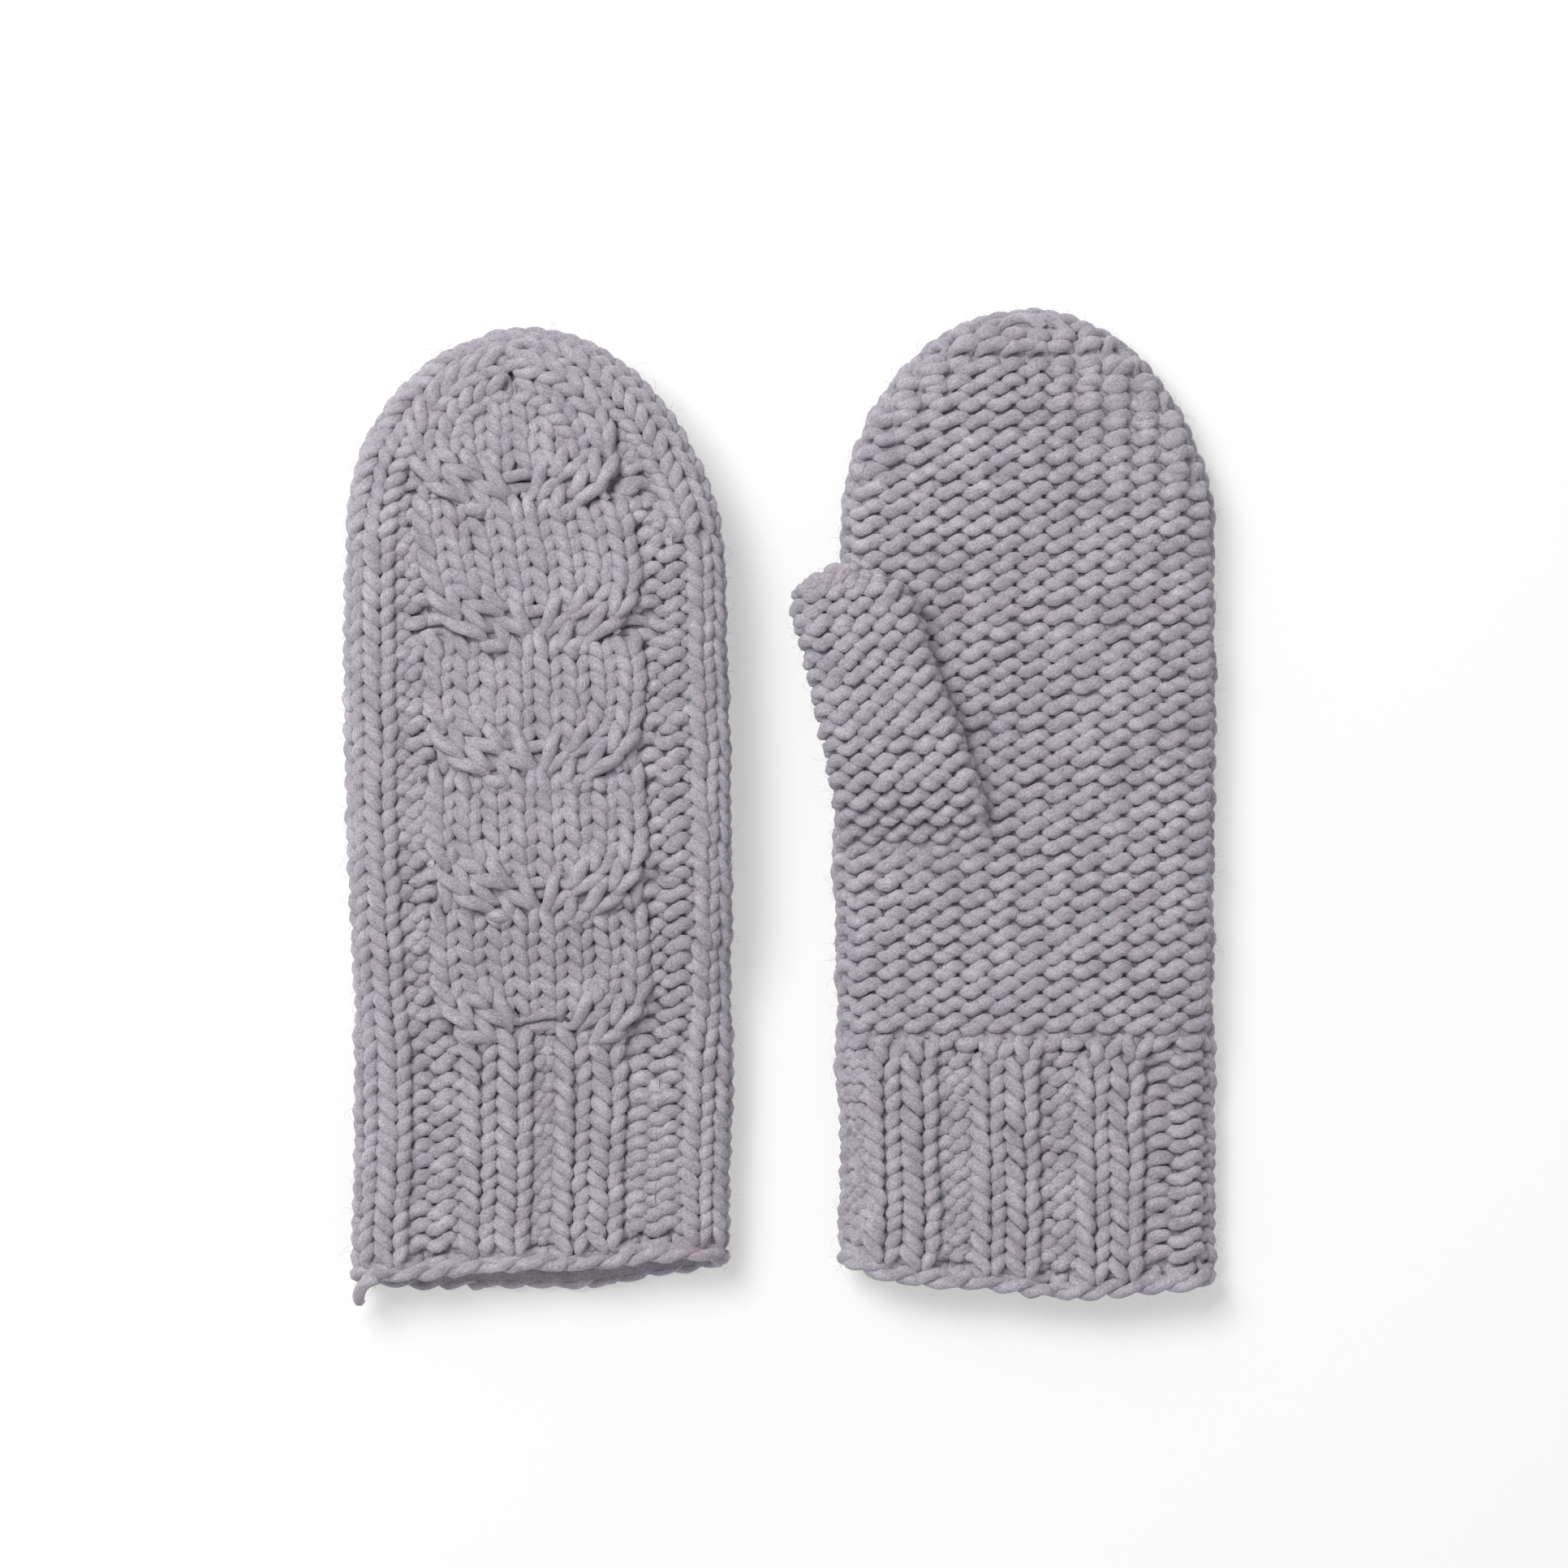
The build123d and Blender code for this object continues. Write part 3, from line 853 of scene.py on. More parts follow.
class Tree:
    """A small helper that adds nodes to a geometry or shader tree and links them."""

    def __init__(self, nodes):
        self.tree = nodes

    def add(self, kind, inputs=None, **settings):
        """A new node with its settings, and its inputs linked or given a value."""
        node = self.tree.nodes.new(kind)
        for name, value in settings.items():
            setattr(node, name, value)
        for key, value in (inputs or {}).items():
            socket = node.inputs[key]
            if isinstance(value, bpy.types.NodeSocket):
                self.tree.links.new(value, socket)
            else:
                socket.default_value = value
        return node

    def math(self, operation, a, b=0.0):
        return self.add("ShaderNodeMath", {0: a, 1: b}, operation=operation).outputs[0]

    def scale(self, vector, factor):
        return self.add("ShaderNodeVectorMath", {0: vector, "Scale": factor}, operation="SCALE").outputs[0]

    def sum(self, a, b):
        return self.add("ShaderNodeVectorMath", {0: a, 1: b}, operation="ADD").outputs[0]

    def attribute(self, name, kind="FLOAT"):
        return self.add("GeometryNodeInputNamedAttribute", {"Name": name}, data_type=kind).outputs[0]

    def mix(self, factor, first, second, blend="MIX"):
        """Two colours mixed; sockets 6 and 7 of the node are its colours."""
        inputs = {"Factor": factor, 6: first, 7: second}
        return self.add("ShaderNodeMix", inputs, data_type="RGBA", blend_type=blend).outputs[2]


KNIT_INPUTS = (
    ("Loop swing", "NodeSocketFloat"),
    ("Loop rise", "NodeSocketFloat"),
    ("Loop depth", "NodeSocketFloat"),
    ("Tuck", "NodeSocketFloat"),
    ("Tilt", "NodeSocketFloat"),
    ("Plump", "NodeSocketFloat"),
    ("Lean", "NodeSocketFloat"),
    ("Slant", "NodeSocketFloat"),
    ("Yarn radius", "NodeSocketFloat"),
    ("Yarn sides", "NodeSocketInt"),
    ("Points between", "NodeSocketInt"),
    ("Fibre density", "NodeSocketFloat"),
    ("Fibre length", "NodeSocketFloat"),
    ("Fibre radius", "NodeSocketFloat"),
    ("Seed", "NodeSocketInt"),
    ("Material", "NodeSocketMaterial"),
)


def knit_tree():
    """Geometry nodes that loop the yarn through every stitch of the guide rows and raise its fibres."""
    group = bpy.data.node_groups.new("knitted_yarn", "GeometryNodeTree")
    group.interface.new_socket("Geometry", in_out="INPUT", socket_type="NodeSocketGeometry")
    for name, kind in KNIT_INPUTS:
        group.interface.new_socket(name, in_out="INPUT", socket_type=kind)
    group.interface.new_socket("Geometry", in_out="OUTPUT", socket_type="NodeSocketGeometry")
    tree = Tree(group)
    given = tree.add("NodeGroupInput").outputs
    yarn = loop_yarn(tree, given)
    tubes = yarn_tubes(tree, given, yarn)
    fibres = raise_fibres(tree, given, tubes)
    is_guide = tree.math("GREATER_THAN", tree.attribute("guide"), 0.5)
    lining = tree.add("GeometryNodeDeleteGeometry", {"Geometry": given["Geometry"], "Selection": is_guide})
    join = tree.add("GeometryNodeJoinGeometry")
    for part in (lining.outputs[0], fibres, tubes):
        group.links.new(part, join.inputs[0])
    real = tree.add("GeometryNodeRealizeInstances", {"Geometry": join.outputs[0]})
    smooth_shade = tree.add("GeometryNodeSetShadeSmooth", {"Geometry": real.outputs[0]})
    shaded = smooth_shade.outputs[0]
    dyed = tree.add("GeometryNodeSetMaterial", {"Geometry": shaded, "Material": given["Material"]})
    tree.add("NodeGroupOutput", {"Geometry": dyed.outputs[0]})
    return group


def loop_yarn(tree, given):
    """The guide rows become curves, and each point moves by the loop's swing, rise and depth."""
    is_guide = tree.math("GREATER_THAN", tree.attribute("guide"), 0.5)
    curve = tree.add("GeometryNodeMeshToCurve", {"Mesh": given["Geometry"], "Selection": is_guide})
    cuts = given["Points between"]
    fine = tree.add("GeometryNodeSubdivideCurve", {"Curve": curve.outputs[0], "Cuts": cuts})
    phase = tree.attribute("phase")
    once = tree.math("MULTIPLY", phase, 2 * math.pi)
    twice = tree.math("MULTIPLY", phase, 4 * math.pi)
    wave = tree.math("SINE", twice)
    kind = tree.attribute("kind")
    knit_only = tree.math("MAXIMUM", kind, 0.0)
    purled = tree.math("SUBTRACT", 0.5, tree.math("MULTIPLY", kind, 0.5))
    wider = tree.math("ADD", 0.86, tree.math("MULTIPLY", kind, 0.14))
    swing = tree.math("MULTIPLY", tree.math("MULTIPLY", wave, given["Loop swing"]), wider)
    taller = tree.math("ADD", 1.0, tree.math("MULTIPLY", knit_only, 0.12))
    dip = tree.math("MULTIPLY", tree.math("COSINE", once), given["Loop rise"])
    drop = tree.math("MULTIPLY", dip, taller)
    climb = tree.math("MULTIPLY", tree.math("MULTIPLY", wave, given["Slant"]), purled)
    rise = tree.math("SUBTRACT", climb, drop)
    depth = tree.math("MULTIPLY", tree.math("COSINE", twice), given["Loop depth"])
    depth = tree.math("MULTIPLY", tree.math("MULTIPLY", depth, kind), -1.0)
    tuck = tree.math("MULTIPLY", tree.math("COSINE", once), given["Tuck"])
    tilt = tree.math("MULTIPLY", tree.math("SINE", once), given["Tilt"])
    depth = tree.math("ADD", depth, tree.math("MULTIPLY", tree.math("ADD", tuck, tilt), knit_only))
    across = tree.attribute("across", "FLOAT_VECTOR")
    along = tree.attribute("along", "FLOAT_VECTOR")
    out = tree.attribute("out", "FLOAT_VECTOR")
    lean = tree.math("MULTIPLY", tree.math("MULTIPLY", rise, given["Lean"]), -1.0)
    moved = tree.sum(tree.scale(across, tree.math("ADD", swing, lean)), tree.scale(along, rise))
    moved = tree.sum(moved, tree.scale(out, depth))
    placed = tree.add("GeometryNodeSetPosition", {"Geometry": fine.outputs[0], "Offset": moved})
    length = tree.add("GeometryNodeSplineParameter").outputs["Length"]
    return tree.add(
        "GeometryNodeStoreNamedAttribute",
        {"Geometry": placed.outputs[0], "Name": "run", "Value": length},
        data_type="FLOAT",
        domain="POINT",
    ).outputs[0]


def yarn_tubes(tree, given, yarn):
    """The yarn as a tube whose thickness wavers, with a yarn-space attribute for its fibres."""
    circle = tree.add("GeometryNodeCurvePrimitiveCircle", {"Resolution": given["Yarn sides"], "Radius": 1.0})
    position = tree.add("GeometryNodeInputPosition").outputs[0]
    profile = tree.add(
        "GeometryNodeStoreNamedAttribute",
        {"Geometry": circle.outputs[0], "Name": "ring", "Value": position},
        data_type="FLOAT_VECTOR",
        domain="POINT",
    ).outputs[0]
    noise = tree.add("ShaderNodeTexNoise", {"Vector": position, "Scale": 90.0, "Detail": 1.0}).outputs["Fac"]
    waver = tree.math("ADD", tree.math("MULTIPLY", noise, 0.34), 0.83)
    swell = tree.math("COSINE", tree.math("MULTIPLY", tree.attribute("phase"), 4 * math.pi))
    swell = tree.math("MULTIPLY", tree.math("MULTIPLY", swell, tree.attribute("kind")), given["Plump"])
    slim = tree.math("MULTIPLY", tree.math("MAXIMUM", tree.attribute("kind"), 0.0), 0.06)
    swollen = tree.math("MULTIPLY", waver, tree.math("SUBTRACT", tree.math("SUBTRACT", 1.0, slim), swell))
    radius = tree.math("MULTIPLY", swollen, given["Yarn radius"])
    tube = tree.add(
        "GeometryNodeCurveToMesh",
        {"Curve": yarn, "Profile Curve": profile, "Scale": radius, "Fill Caps": True},
    )
    ring = tree.add("ShaderNodeSeparateXYZ", {0: tree.attribute("ring", "FLOAT_VECTOR")})
    space = tree.add(
        "ShaderNodeCombineXYZ", {0: ring.outputs[0], 1: ring.outputs[1], 2: tree.attribute("run")}
    ).outputs[0]
    return tree.add(
        "GeometryNodeStoreNamedAttribute",
        {"Geometry": tube.outputs[0], "Name": "yarn", "Value": space},
        data_type="FLOAT_VECTOR",
        domain="POINT",
    ).outputs[0]


def raise_fibres(tree, given, tubes):
    """Fine curved hairs on the outward side of the yarn."""
    out = tree.attribute("out", "FLOAT_VECTOR")
    normal = tree.add("GeometryNodeInputNormal").outputs[0]
    facing = tree.add("ShaderNodeVectorMath", {0: normal, 1: out}, operation="DOT_PRODUCT").outputs["Value"]
    outward = tree.math("GREATER_THAN", facing, 0.15)
    spread = tree.add(
        "GeometryNodeDistributePointsOnFaces",
        {"Mesh": tubes, "Selection": outward, "Density": given["Fibre density"], "Seed": given["Seed"]},
    )
    bend = tree.add(
        "GeometryNodeCurveQuadraticBezier",
        {"Resolution": 2, "Start": (0, 0, -0.05), "Middle": (0.42, 0.1, 0.62), "End": (1.0, -0.15, 0.5)},
    )
    radius = given["Fibre radius"]
    round_hair = tree.add("GeometryNodeCurvePrimitiveCircle", {"Resolution": 3, "Radius": radius}).outputs[0]
    hair = tree.add("GeometryNodeCurveToMesh", {"Curve": bend.outputs[0], "Profile Curve": round_hair})
    turn = tree.add(
        "FunctionNodeRandomValue",
        {"Min": (-0.5, -0.5, 0.0), "Max": (0.5, 0.5, 2 * math.pi), "Seed": given["Seed"]},
        data_type="FLOAT_VECTOR",
    ).outputs[0]
    turned = tree.add(
        "FunctionNodeRotateRotation",
        {"Rotation": spread.outputs["Rotation"], "Rotate By": turn},
        rotation_space="LOCAL",
    ).outputs[0]
    length = tree.add("FunctionNodeRandomValue", {2: 0.35, 3: 1.0, "Seed": given["Seed"]}, data_type="FLOAT")
    size = tree.math("MULTIPLY", length.outputs[1], given["Fibre length"])
    points = spread.outputs["Points"]
    return tree.add(
        "GeometryNodeInstanceOnPoints",
        {"Points": points, "Instance": hair.outputs[0], "Rotation": turned, "Scale": size},
    ).outputs[0]


def noise(tree, place, scale, detail, roughness):
    """A noise texture's node, for its value and its colour."""
    inputs = {"Vector": place, "Scale": scale, "Detail": detail, "Roughness": roughness}
    return tree.add("ShaderNodeTexNoise", inputs)


def wool_material(settings):
    """Soft single-ply wool: heathered lavender grey, with fine fibres that lie along a slight twist; the
    fibre streaks are lighter and darker in colour, partly their own tone and partly painted highlight and
    shade.
    """
    material = bpy.data.materials.new("heathered_wool")
    material.use_nodes = True
    tree = Tree(material.node_tree)
    links = material.node_tree.links
    shader = material.node_tree.nodes["Principled BSDF"]
    yarn = tree.add("ShaderNodeAttribute", attribute_name="yarn").outputs["Vector"]
    split = tree.add("ShaderNodeSeparateXYZ", {0: yarn}).outputs
    twist = {"Vector": yarn, "Angle": tree.math("MULTIPLY", split[2], settings.fibre_twist)}
    turned = tree.add("ShaderNodeVectorRotate", twist, rotation_type="Z_AXIS").outputs[0]
    stretched = tree.add("ShaderNodeVectorMath", {0: turned, 1: (1.0, 1.0, 90.0)}, operation="MULTIPLY")
    fibres = noise(tree, stretched.outputs[0], 5.5, 4.0, 0.62).outputs["Fac"]
    place = tree.add("ShaderNodeTexCoord").outputs["Object"]
    heather = noise(tree, place, 130.0, 3.0, 0.55).outputs["Fac"]
    fleck = noise(tree, place, 70.0, 4.0, 0.7).outputs["Fac"]
    mottle = noise(tree, place, 1700.0, 3.0, 0.6)
    base = tree.mix(heather, (*settings.dark_wool, 1), (*settings.light_wool, 1))
    fleck_range = {"Value": fleck, "From Min": 0.5, "From Max": 0.74, "To Max": settings.fleck_share}
    fleck_amount = tree.add("ShaderNodeMapRange", fleck_range).outputs[0]
    flecked = tree.mix(fleck_amount, base, (*settings.fleck_wool, 1))
    grain = wool_grain(tree, split, fibres, mottle.outputs["Fac"], settings)
    # The grain sets how light the colour is: partly the fibres' own tone, partly painted highlight where the
    # surface is higher and painted shade where it is lower.
    tone_and_highlight_range = {"Value": grain, "From Min": 0.4, "From Max": 0.76, "To Min": 0.58, "To Max": 1.26}
    value = tree.add("ShaderNodeMapRange", tone_and_highlight_range).outputs[0]
    fibre_tone_and_highlight = tree.add("ShaderNodeHueSaturation", {"Value": value, "Color": flecked}).outputs[0]
    tinted = tree.mix(settings.tint_share, fibre_tone_and_highlight, mottle.outputs["Color"], "SOFT_LIGHT")
    links.new(tinted, shader.inputs["Base Color"])
    bump = tree.add("ShaderNodeBump", {"Height": grain, "Strength": 0.8, "Distance": 0.0008})
    links.new(bump.outputs[0], shader.inputs["Normal"])
    shader.inputs["Roughness"].default_value = 0.95
    shader.inputs["Specular IOR Level"].default_value = 0.15
    shader.inputs["Sheen Weight"].default_value = 0.35
    shader.inputs["Sheen Roughness"].default_value = 0.55
    return material


def wool_grain(tree, split, fibres, mottle, settings):
    """The height of the yarn's surface: its fibres, its fuzz and a faint two-ply twist; it also sets how
    light the colour is, partly as painted highlight and shade.
    """
    bent = tree.math("MULTIPLY", fibres, 2.0)
    ply_turn = tree.math("ADD", tree.math("MULTIPLY", split[2], settings.ply_twist), bent)
    angle = tree.math("ARCTAN2", split[1], split[0])
    ply = tree.math("SINE", tree.math("SUBTRACT", tree.math("MULTIPLY", angle, 2.0), ply_turn))
    grain = tree.math("ADD", tree.math("MULTIPLY", fibres, 0.5), tree.math("MULTIPLY", mottle, 0.66))
    return tree.math("ADD", grain, tree.math("MULTIPLY", ply, 0.035))


def wool():
    """The one wool material, made at its first use."""
    return bpy.data.materials.get("heathered_wool") or wool_material(bpy.context.scene.mitten_wool)


def press_flat(mesh):
    """The wool that lies on the floor is pressed flat there, under the mitten's own weight."""
    points = np.empty(len(mesh.vertices) * 3, np.float32)
    mesh.vertices.foreach_get("co", points)
    points = points.reshape(-1, 3)
    below = np.minimum(points[:, 2] - FLOOR_GAP, 0.0)
    points[:, 2] -= PRESSED * below
    mesh.vertices.foreach_set("co", points.ravel())
    mesh.update()


def knit(name, guides, linings, seed):
    """Runs the knitting nodes on guide rows and returns the finished piece as a plain mesh object."""
    settings = bpy.context.scene.mitten_knit
    group = bpy.data.node_groups.get("knitted_yarn") or knit_tree()
    linings = linings + [layer for guide in guides for layer in backing(guide)]
    piece = bpy.data.objects.new(name, guide_mesh(name, guides, linings, seed))
    bpy.context.scene.collection.objects.link(piece)
    values = {
        "Loop swing": settings.loop_swing,
        "Loop rise": settings.loop_rise,
        "Loop depth": settings.loop_depth,
        "Tuck": settings.tuck,
        "Tilt": settings.tilt,
        "Plump": settings.plump,
        "Lean": settings.lean,
        "Slant": settings.slant,
        "Yarn radius": settings.yarn_radius,
        "Yarn sides": settings.yarn_sides,
        "Points between": settings.points_between,
        "Fibre density": settings.fibre_density,
        "Fibre length": settings.fibre_length,
        "Fibre radius": settings.fibre_radius / settings.fibre_length,
        "Seed": seed,
        "Material": wool(),
    }
    modifier = piece.modifiers.new("knit", "NODES")
    modifier.node_group = group
    for item in group.interface.items_tree:
        if item.item_type == "SOCKET" and item.in_out == "INPUT" and item.name in values:
            modifier[item.identifier] = values[item.name]
    evaluated = piece.evaluated_get(bpy.context.evaluated_depsgraph_get())
    mesh = bpy.data.meshes.new_from_object(evaluated)
    piece.modifiers.remove(modifier)
    old = piece.data
    piece.data = mesh
    bpy.data.meshes.remove(old)
    mesh.name = name
    press_flat(mesh)
    for spare in ("across", "along", "out", "kind", "phase", "guide", "ring", "run"):
        if spare in mesh.attributes:
            mesh.attributes.remove(mesh.attributes[spare])
    return piece


def mittens():
    """Both mittens' sizes, for the yarn of the settings."""
    settings = bpy.context.scene.mitten_knit
    radius, depth = settings.yarn_radius / MM, settings.loop_depth / MM
    return [Mitten(side, radius, depth) for side in SIDES]


def bend_at(piece, part):
    """Bakes the piece's placement into its mesh."""
    if part == "cuff":
        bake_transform(piece)
    else:
        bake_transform(piece)


def named(mitten, *nodes):
    """The full names of some of a mitten's nodes."""
    return [f"{mitten.side}_{node}" for node in nodes]


def hand_split(mitten):
    """The height at which the hand is split into its lower and upper pieces."""
    return (mitten.wrist + mitten.finger) / 2


class KnitCuffs(bpy.types.Operator):
    """Knit the ribbed cuffs"""

    bl_idname = "mittens.cuffs"
    bl_label = "Cuffs"

    def execute(self, context):
        for number, mitten in enumerate(mittens()):
            cuff, _ = ring_guides(mitten)
            lining = tube_lining(mitten, 1.0, mitten.wrist)
            piece = knit(f"{mitten.side}_cuff_rib", [cuff], [lining], 10 + number)
            bend_at(piece, "cuff")
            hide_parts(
                *named(mitten, "cuff_back", "cuff_palm", "cuff_thumb_side", "cuff_outer_side")
            )
        return {"FINISHED"}


class KnitHands(bpy.types.Operator):
    """Knit the palms, edge columns and gutters of the hands"""

    bl_idname = "mittens.hands"
    bl_label = "Hands"

    def execute(self, context):
        for number, mitten in enumerate(mittens()):
            _, hand = ring_guides(mitten)
            middle = float(mitten.row_at(hand_split(mitten)))
            low = knit(
                f"{mitten.side}_hand_lower_knit",
                [hand.between(0, middle)],
                [tube_lining(mitten, mitten.wrist, hand_split(mitten))],
                20 + number,
            )
            bend_at(low, "cuff")
            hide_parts(*named(mitten, "wrist_line", "hand_palm", "hand_thumb_side", "hand_outer_side"))
            high = knit(
                f"{mitten.side}_hand_upper_knit",
                [hand.between(middle, 999)],
                [tube_lining(mitten, hand_split(mitten), mitten.finger)],
                30 + number,
            )
            bend_at(high, "fingers")
            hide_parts(*named(mitten, "hand_back", "finger_line"))
        return {"FINISHED"}


class KnitCables(bpy.types.Operator):
    """Knit the horseshoe cables of the backs"""

    bl_idname = "mittens.cables"
    bl_label = "Cables"

    def execute(self, context):
        for number, mitten in enumerate(mittens()):
            strands = [strand_guide(mitten, hand, first) for hand in (-1, 1) for first in (True, False)]
            middle = float(mitten.row_at(hand_split(mitten)))
            fold = float(mitten.row_at(mitten.finger))
            low = [strand.between(CUFF_ROWS - 0.5, middle) for strand in strands]
            high = [strand.between(middle, fold) for strand in strands]
            tips = [strand.between(fold, 999) for strand in strands]
            bars = turn_bars(mitten)
            low += bars[:4]
            high += bars[4:8]
            tips += bars[8:]
            piece = knit(f"{mitten.side}_cable_lower", low, [], 40 + number)
            bend_at(piece, "cuff")
            piece = knit(f"{mitten.side}_cable_upper", high, [], 50 + number)
            bend_at(piece, "fingers")
            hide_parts(*named(mitten, "hand_cable"))
            piece = knit(f"{mitten.side}_cable_tip", tips, [], 60 + number)
            bend_at(piece, "fingers")
            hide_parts(*named(mitten, "finger_cable"))
        return {"FINISHED"}


class KnitCrowns(bpy.types.Operator):
    """Knit the crowns over the fingertips"""

    bl_idname = "mittens.crowns"
    bl_label = "Crowns"

    def execute(self, context):
        for number, mitten in enumerate(mittens()):
            guides = palm_guides(mitten) + [gutter_guides(mitten, hand) for hand in (-1, 1)]
            piece = knit(f"{mitten.side}_crown_knit", guides, crown_lining(mitten), 70 + number)
            bend_at(piece, "fingers")
            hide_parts(*named(mitten, "finger_back", "finger_palm"))
            bands = [band_guide(mitten, hand) for hand in (-1, 1)] + tip_bars(mitten)
            piece = knit(f"{mitten.side}_crown_edge_knit", bands, [], 80 + number)
            bend_at(piece, "fingers")
            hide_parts(*named(mitten, "crown_edge", "crown_gather"))
        return {"FINISHED"}


class KnitThumbs(bpy.types.Operator):
    """Knit the thumbs, picked up around the slit in each palm"""

    bl_idname = "mittens.thumbs"
    bl_label = "Thumbs"

    def execute(self, context):
        for number, mitten in enumerate(mittens()):
            guides, linings = [thumb_guide(mitten)], [thumb_lining(mitten)]
            piece = knit(f"{mitten.side}_thumb_knit", guides, linings, 90 + number)
            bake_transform(piece)
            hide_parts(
                *named(mitten, "thumb_base", "thumb_top", "thumb_under", "thumb_rim", "thumb_gather")
            )
        return {"FINISHED"}


def cord_guide(centre, out, turns, radius, strands):
    """Strands twisted about a path, as plain guides."""
    count = len(centre)
    way = unit(np.gradient(centre, axis=0))
    side = unit(np.cross(way, out))
    guides = []
    for strand in range(strands):
        angle = np.linspace(0, 2 * math.pi * turns, count) + 2 * math.pi * strand / strands
        offset = radius * (out * np.cos(angle)[:, None] + side * np.sin(angle)[:, None])
        guides.append(plain_guide(centre + offset, out))
    return guides


class KnitCastOn(bpy.types.Operator):
    """Lay the corded cast-on edges"""

    bl_idname = "mittens.cast_on"
    bl_label = "Cast-on edges"

    def execute(self, context):
        for number, mitten in enumerate(mittens()):
            around = np.linspace(1.0, 5.04, 28 * 12)
            point, normal = mitten.section(around, np.full_like(around, 1.4))
            guides = cord_guide(point + 0.7 * normal, normal, -13.0, 1.15, 2)
            piece = knit(f"{mitten.side}_cast_on_cord", guides, [], 100 + number)
            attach(piece, f"{mitten.side}_cuff")
            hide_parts(*named(mitten, "cast_on_edge"))
        return {"FINISHED"}


class KnitTail(bpy.types.Operator):
    """Lay the loose end of the cast-on yarn"""

    bl_idname = "mittens.tail"
    bl_label = "Yarn tail"

    def execute(self, context):
        low, high = node_box("right", "yarn_tail")
        share = np.linspace(0, 1, 17)[:, None]
        start = np.array([high[0] - 1, high[1] - 1, low[2] - 1.5])
        end = np.array([low[0] + 2, low[1] - 3.0, low[2] - 9.0])
        middle = np.array([low[0] + 1.5, low[1] + 0.5, low[2] - 1.0])
        centre = start * (1 - share) ** 2 + 2 * middle * share * (1 - share) + end * share**2
        out = np.tile(np.array([0.0, 0.0, 1.0]), (17, 1))
        guides = cord_guide(centre, out, 0.0, 0.0, 1)
        piece = knit("right_yarn_end", guides, [], 120)
        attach(piece, "right_cuff")
        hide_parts("right_yarn_tail")
        return {"FINISHED"}


def plain_material(name, colour, roughness):
    """A matt material of one colour."""
    material = bpy.data.materials.new(name)
    material.use_nodes = True
    shader = material.node_tree.nodes["Principled BSDF"]
    shader.inputs["Base Color"].default_value = (*colour, 1)
    shader.inputs["Roughness"].default_value = roughness
    return material


def area_light(name, place, target, size, power):
    """A square soft light that points at a target."""
    light = bpy.data.lights.new(name, "AREA")
    light.shape = "SQUARE"
    light.size = size
    light.energy = power
    lamp = bpy.data.objects.new(name, light)
    lamp.location = place
    lamp.rotation_euler = (Vector(target) - Vector(place)).to_track_quat("-Z", "Y").to_euler()
    bpy.context.scene.collection.objects.link(lamp)
    return lamp


class SetStage(bpy.types.Operator):
    """Set up the pale floor, the soft light and the camera above the pair"""

    bl_idname = "mittens.stage"
    bl_label = "Stage"

    def execute(self, context):
        settings = context.scene.mitten_stage
        low, high = CAD_BOX
        middle = (low + high) / 2
        half = settings.floor_size / 2
        mesh = bpy.data.meshes.new("floor")
        outline = [(-half, -half), (half, -half), (half, half), (-half, half)]
        corners = [(x, y, FLOOR_LEVEL) for x, y in outline]
        mesh.from_pydata(corners, [], [(0, 1, 2, 3)])
        floor_look = plain_material("pale_floor", settings.floor_colour, 0.9)
        shader = floor_look.node_tree.nodes["Principled BSDF"]
        shader.inputs["Specular IOR Level"].default_value = 0.0
        shader.inputs["Emission Color"].default_value = (1, 1, 1, 1)
        shader.inputs["Emission Strength"].default_value = settings.floor_glow
        mesh.materials.append(floor_look)
        floor = bpy.data.objects.new("floor", mesh)
        context.scene.collection.objects.link(floor)
        world = bpy.data.worlds.new("studio")
        world.use_nodes = True
        world.node_tree.nodes["Background"].inputs[0].default_value = (1, 1, 1, 1)
        world.node_tree.nodes["Background"].inputs[1].default_value = settings.sky_strength
        context.scene.world = world
        area_light("window", WINDOW_PLACE, middle, settings.light_size, settings.light_power)
        camera = bpy.data.cameras.new("camera")
        camera.sensor_width = 36.0
        camera.lens = camera.sensor_width * settings.view_distance / settings.view_width
        camera.clip_end = 20.0
        eye = bpy.data.objects.new("camera", camera)
        eye.location = Vector((middle.x, middle.y, settings.camera_height))
        eye.location += Vector((settings.view_shift_x, settings.view_shift_y, 0.0))
        context.scene.collection.objects.link(eye)
        context.scene.camera = eye
        context.scene.view_settings.view_transform = "Standard"
        return {"FINISHED"}


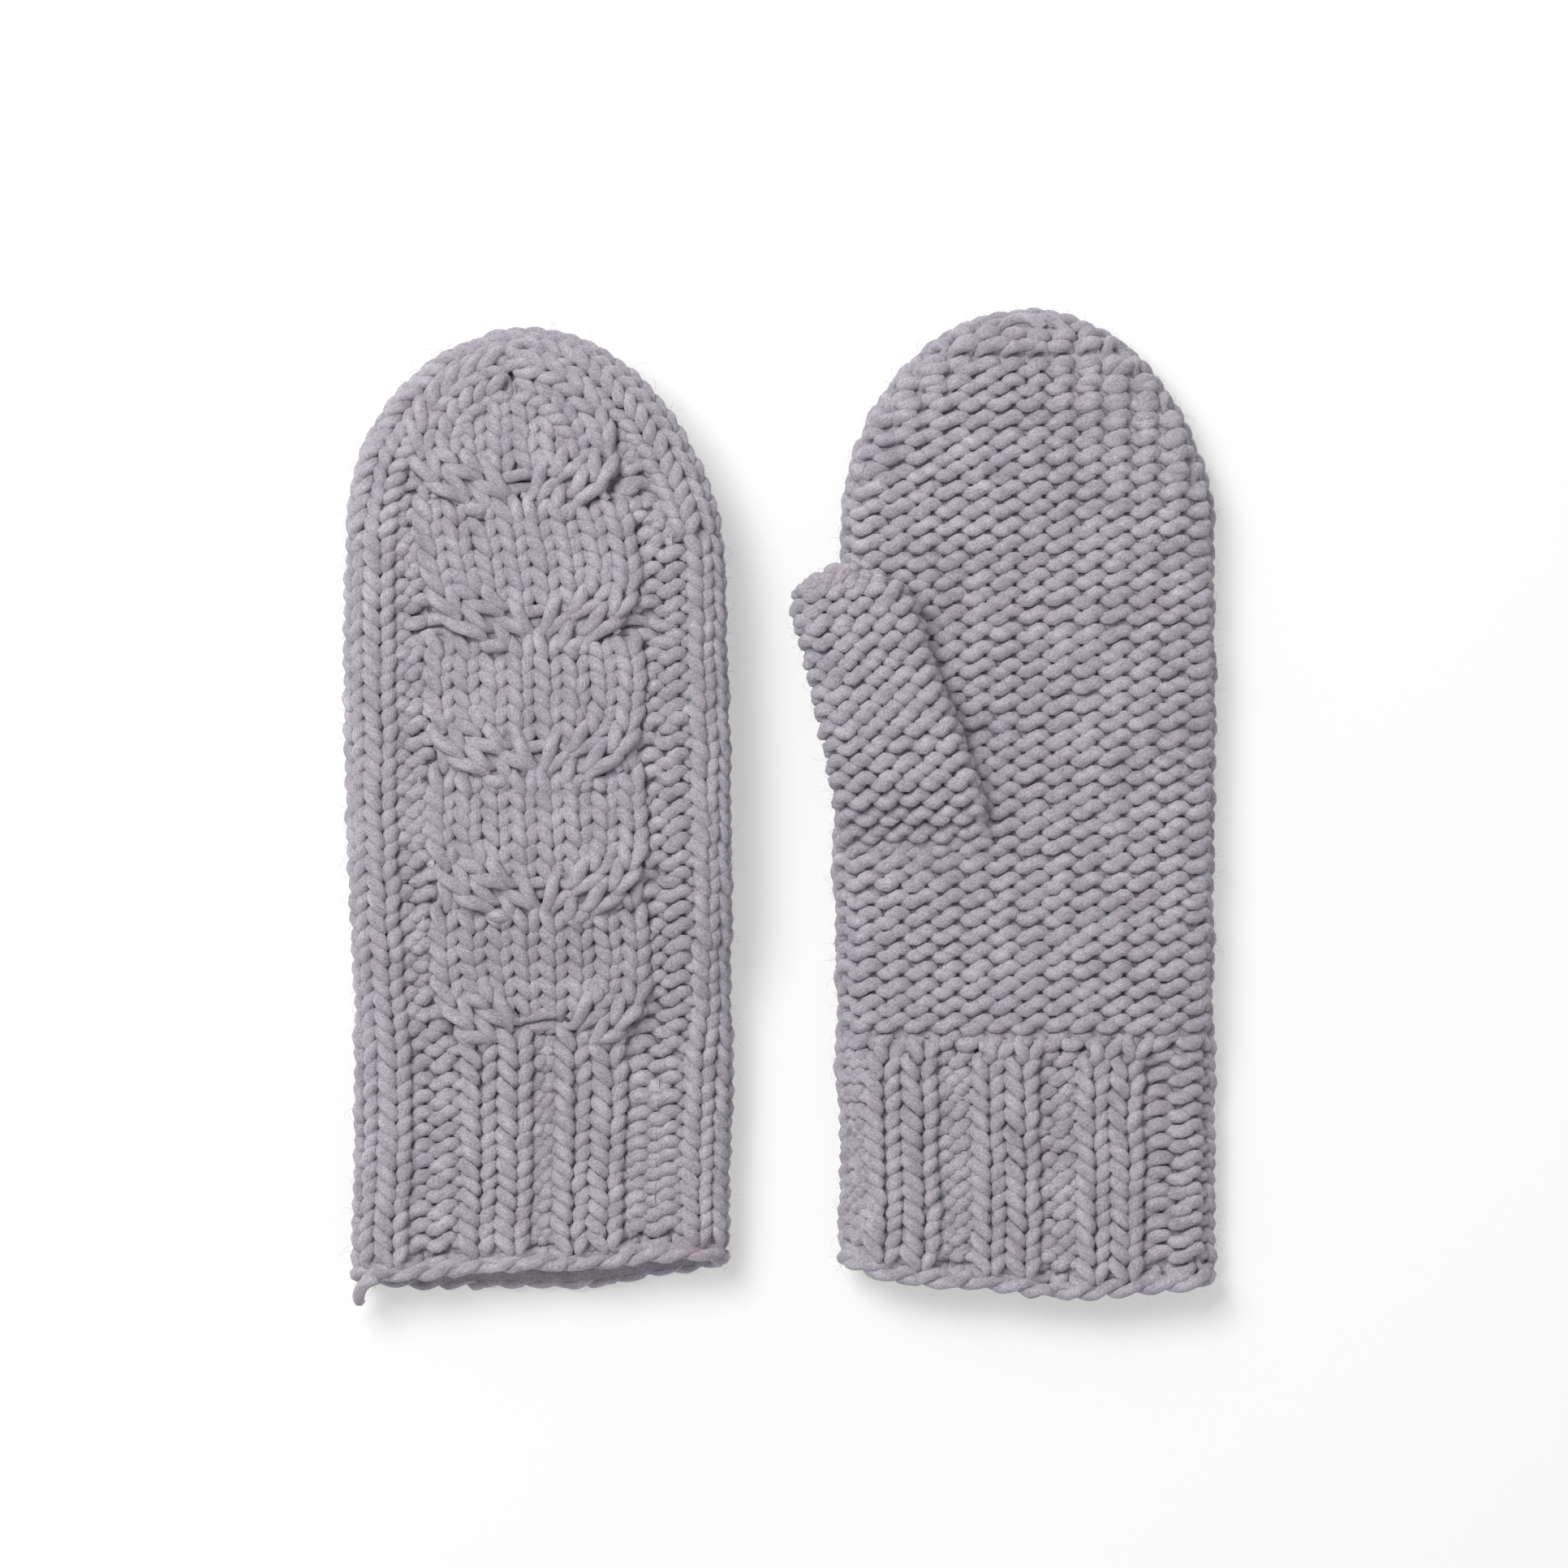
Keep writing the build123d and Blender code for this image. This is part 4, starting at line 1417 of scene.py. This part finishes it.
class KnitSettings(bpy.types.PropertyGroup):
    """How the yarn is looped and how its fibres stand"""

    yarn_radius: FloatProperty(
        name="Yarn radius", description="Half the yarn's thickness", default=0.00168, unit="LENGTH"
    )
    loop_swing: FloatProperty(
        name="Loop swing", description="How far a loop's legs lean, in stitches", default=0.25
    )
    loop_rise: FloatProperty(name="Loop rise", description="Half a loop's height, in rows", default=0.72)
    loop_depth: FloatProperty(
        name="Loop depth", description="How far a loop stands out", default=0.0015, unit="LENGTH"
    )
    tuck: FloatProperty(
        name="Tuck", description="How far a leg's foot lies over the leg below",
        default=0.00045, unit="LENGTH",
    )
    tilt: FloatProperty(
        name="Tilt", description="How far left legs stand before right legs", default=0.0003, unit="LENGTH"
    )
    plump: FloatProperty(
        name="Plump", description="Share by which the yarn swells where it shows", default=0.24
    )
    lean: FloatProperty(
        name="Lean", description="How far loops lean to one side, in stitches per row", default=0.10
    )
    slant: FloatProperty(
        name="Slant", description="How far the bumps climb to one side, in rows", default=0.09
    )
    yarn_sides: IntProperty(name="Yarn sides", description="Faces around the yarn", default=7)
    points_between: IntProperty(
        name="Points between", description="Points added between guide points", default=3
    )
    fibre_density: FloatProperty(
        name="Fibre density", description="Hairs per square metre of yarn", default=76000.0
    )
    fibre_length: FloatProperty(
        name="Fibre length", description="Longest hair", default=0.004, unit="LENGTH"
    )
    fibre_radius: FloatProperty(
        name="Fibre radius", description="Half a hair's thickness", default=0.00003, unit="LENGTH"
    )


class WoolSettings(bpy.types.PropertyGroup):
    """The wool's colours and grain"""

    dark_wool: FloatVectorProperty(
        name="Dark wool", description="Darker fibres", subtype="COLOR", default=(0.285, 0.262, 0.325)
    )
    light_wool: FloatVectorProperty(
        name="Light wool", description="Lighter fibres", subtype="COLOR", default=(0.695, 0.662, 0.73)
    )
    fleck_wool: FloatVectorProperty(
        name="Fleck", description="Pinkish flecks", subtype="COLOR", default=(0.5, 0.37, 0.42)
    )
    fleck_share: FloatProperty(name="Fleck share", description="How strong the flecks get", default=0.42)
    tint_share: FloatProperty(
        name="Tint share", description="How much single fibres differ in hue", default=0.16
    )
    fibre_twist: FloatProperty(
        name="Fibre twist", description="Turn of the fibres along the yarn", default=330.0
    )
    ply_twist: FloatProperty(name="Ply twist", description="Turn of the plies along the yarn", default=720.0)


class StageSettings(bpy.types.PropertyGroup):
    """The floor, the light and the view"""

    floor_size: FloatProperty(name="Floor size", description="Side of the floor", default=6.0, unit="LENGTH")
    floor_colour: FloatVectorProperty(
        name="Floor", description="Floor colour", subtype="COLOR", default=(0.64, 0.64, 0.64)
    )
    floor_glow: FloatProperty(
        name="Floor glow", description="Even brightness of the paper floor", default=0.36
    )
    sky_strength: FloatProperty(name="Sky", description="Strength of the even light", default=0.42)
    light_size: FloatProperty(
        name="Light size", description="Side of the soft light", default=0.9, unit="LENGTH"
    )
    light_power: FloatProperty(name="Light power", description="Power of the soft light", default=30.0)
    camera_height: FloatProperty(
        name="Camera height", description="Height above the floor", default=1.612, unit="LENGTH"
    )
    view_distance: FloatProperty(
        name="View distance", description="Where the view width is measured", default=1.6, unit="LENGTH"
    )
    view_width: FloatProperty(
        name="View width", description="Width that the camera sees", default=0.425, unit="LENGTH"
    )
    view_shift_x: FloatProperty(
        name="View across", description="View centre from the pair's", default=0.0, unit="LENGTH"
    )
    view_shift_y: FloatProperty(
        name="View along", description="View centre from the pair's", default=0.0056, unit="LENGTH"
    )


class MittensPanel(bpy.types.Panel):
    """Lists what the mittens are made of"""

    bl_idname = "VIEW3D_PT_mittens"
    bl_label = "Mittens"
    bl_space_type = "VIEW_3D"
    bl_region_type = "UI"
    bl_category = "Mittens"

    def draw(self, context):
        for group in (context.scene.mitten_knit, context.scene.mitten_wool, context.scene.mitten_stage):
            for name in group.__annotations__:
                self.layout.prop(group, name)
        for operator in OPERATORS:
            self.layout.operator(operator.bl_idname)


OPERATORS = (KnitCuffs, KnitHands, KnitCables, KnitCrowns, KnitThumbs, KnitCastOn, KnitTail, SetStage)
GROUPS = (("mitten_knit", KnitSettings), ("mitten_wool", WoolSettings), ("mitten_stage", StageSettings))


def register():
    for name, group in GROUPS:
        bpy.utils.register_class(group)
        setattr(bpy.types.Scene, name, PointerProperty(type=group))
    for operator in OPERATORS:
        bpy.utils.register_class(operator)
    bpy.utils.register_class(MittensPanel)


def unregister():
    bpy.utils.unregister_class(MittensPanel)
    for operator in reversed(OPERATORS):
        bpy.utils.unregister_class(operator)
    for name, group in reversed(GROUPS):
        delattr(bpy.types.Scene, name)
        bpy.utils.unregister_class(group)


def main():
    register()
    bpy.ops.mittens.cuffs()
    bpy.ops.mittens.hands()
    bpy.ops.mittens.cables()
    bpy.ops.mittens.crowns()
    bpy.ops.mittens.thumbs()
    bpy.ops.mittens.cast_on()
    bpy.ops.mittens.tail()
    bpy.ops.mittens.stage()


if __name__ == "__main__":
    main()
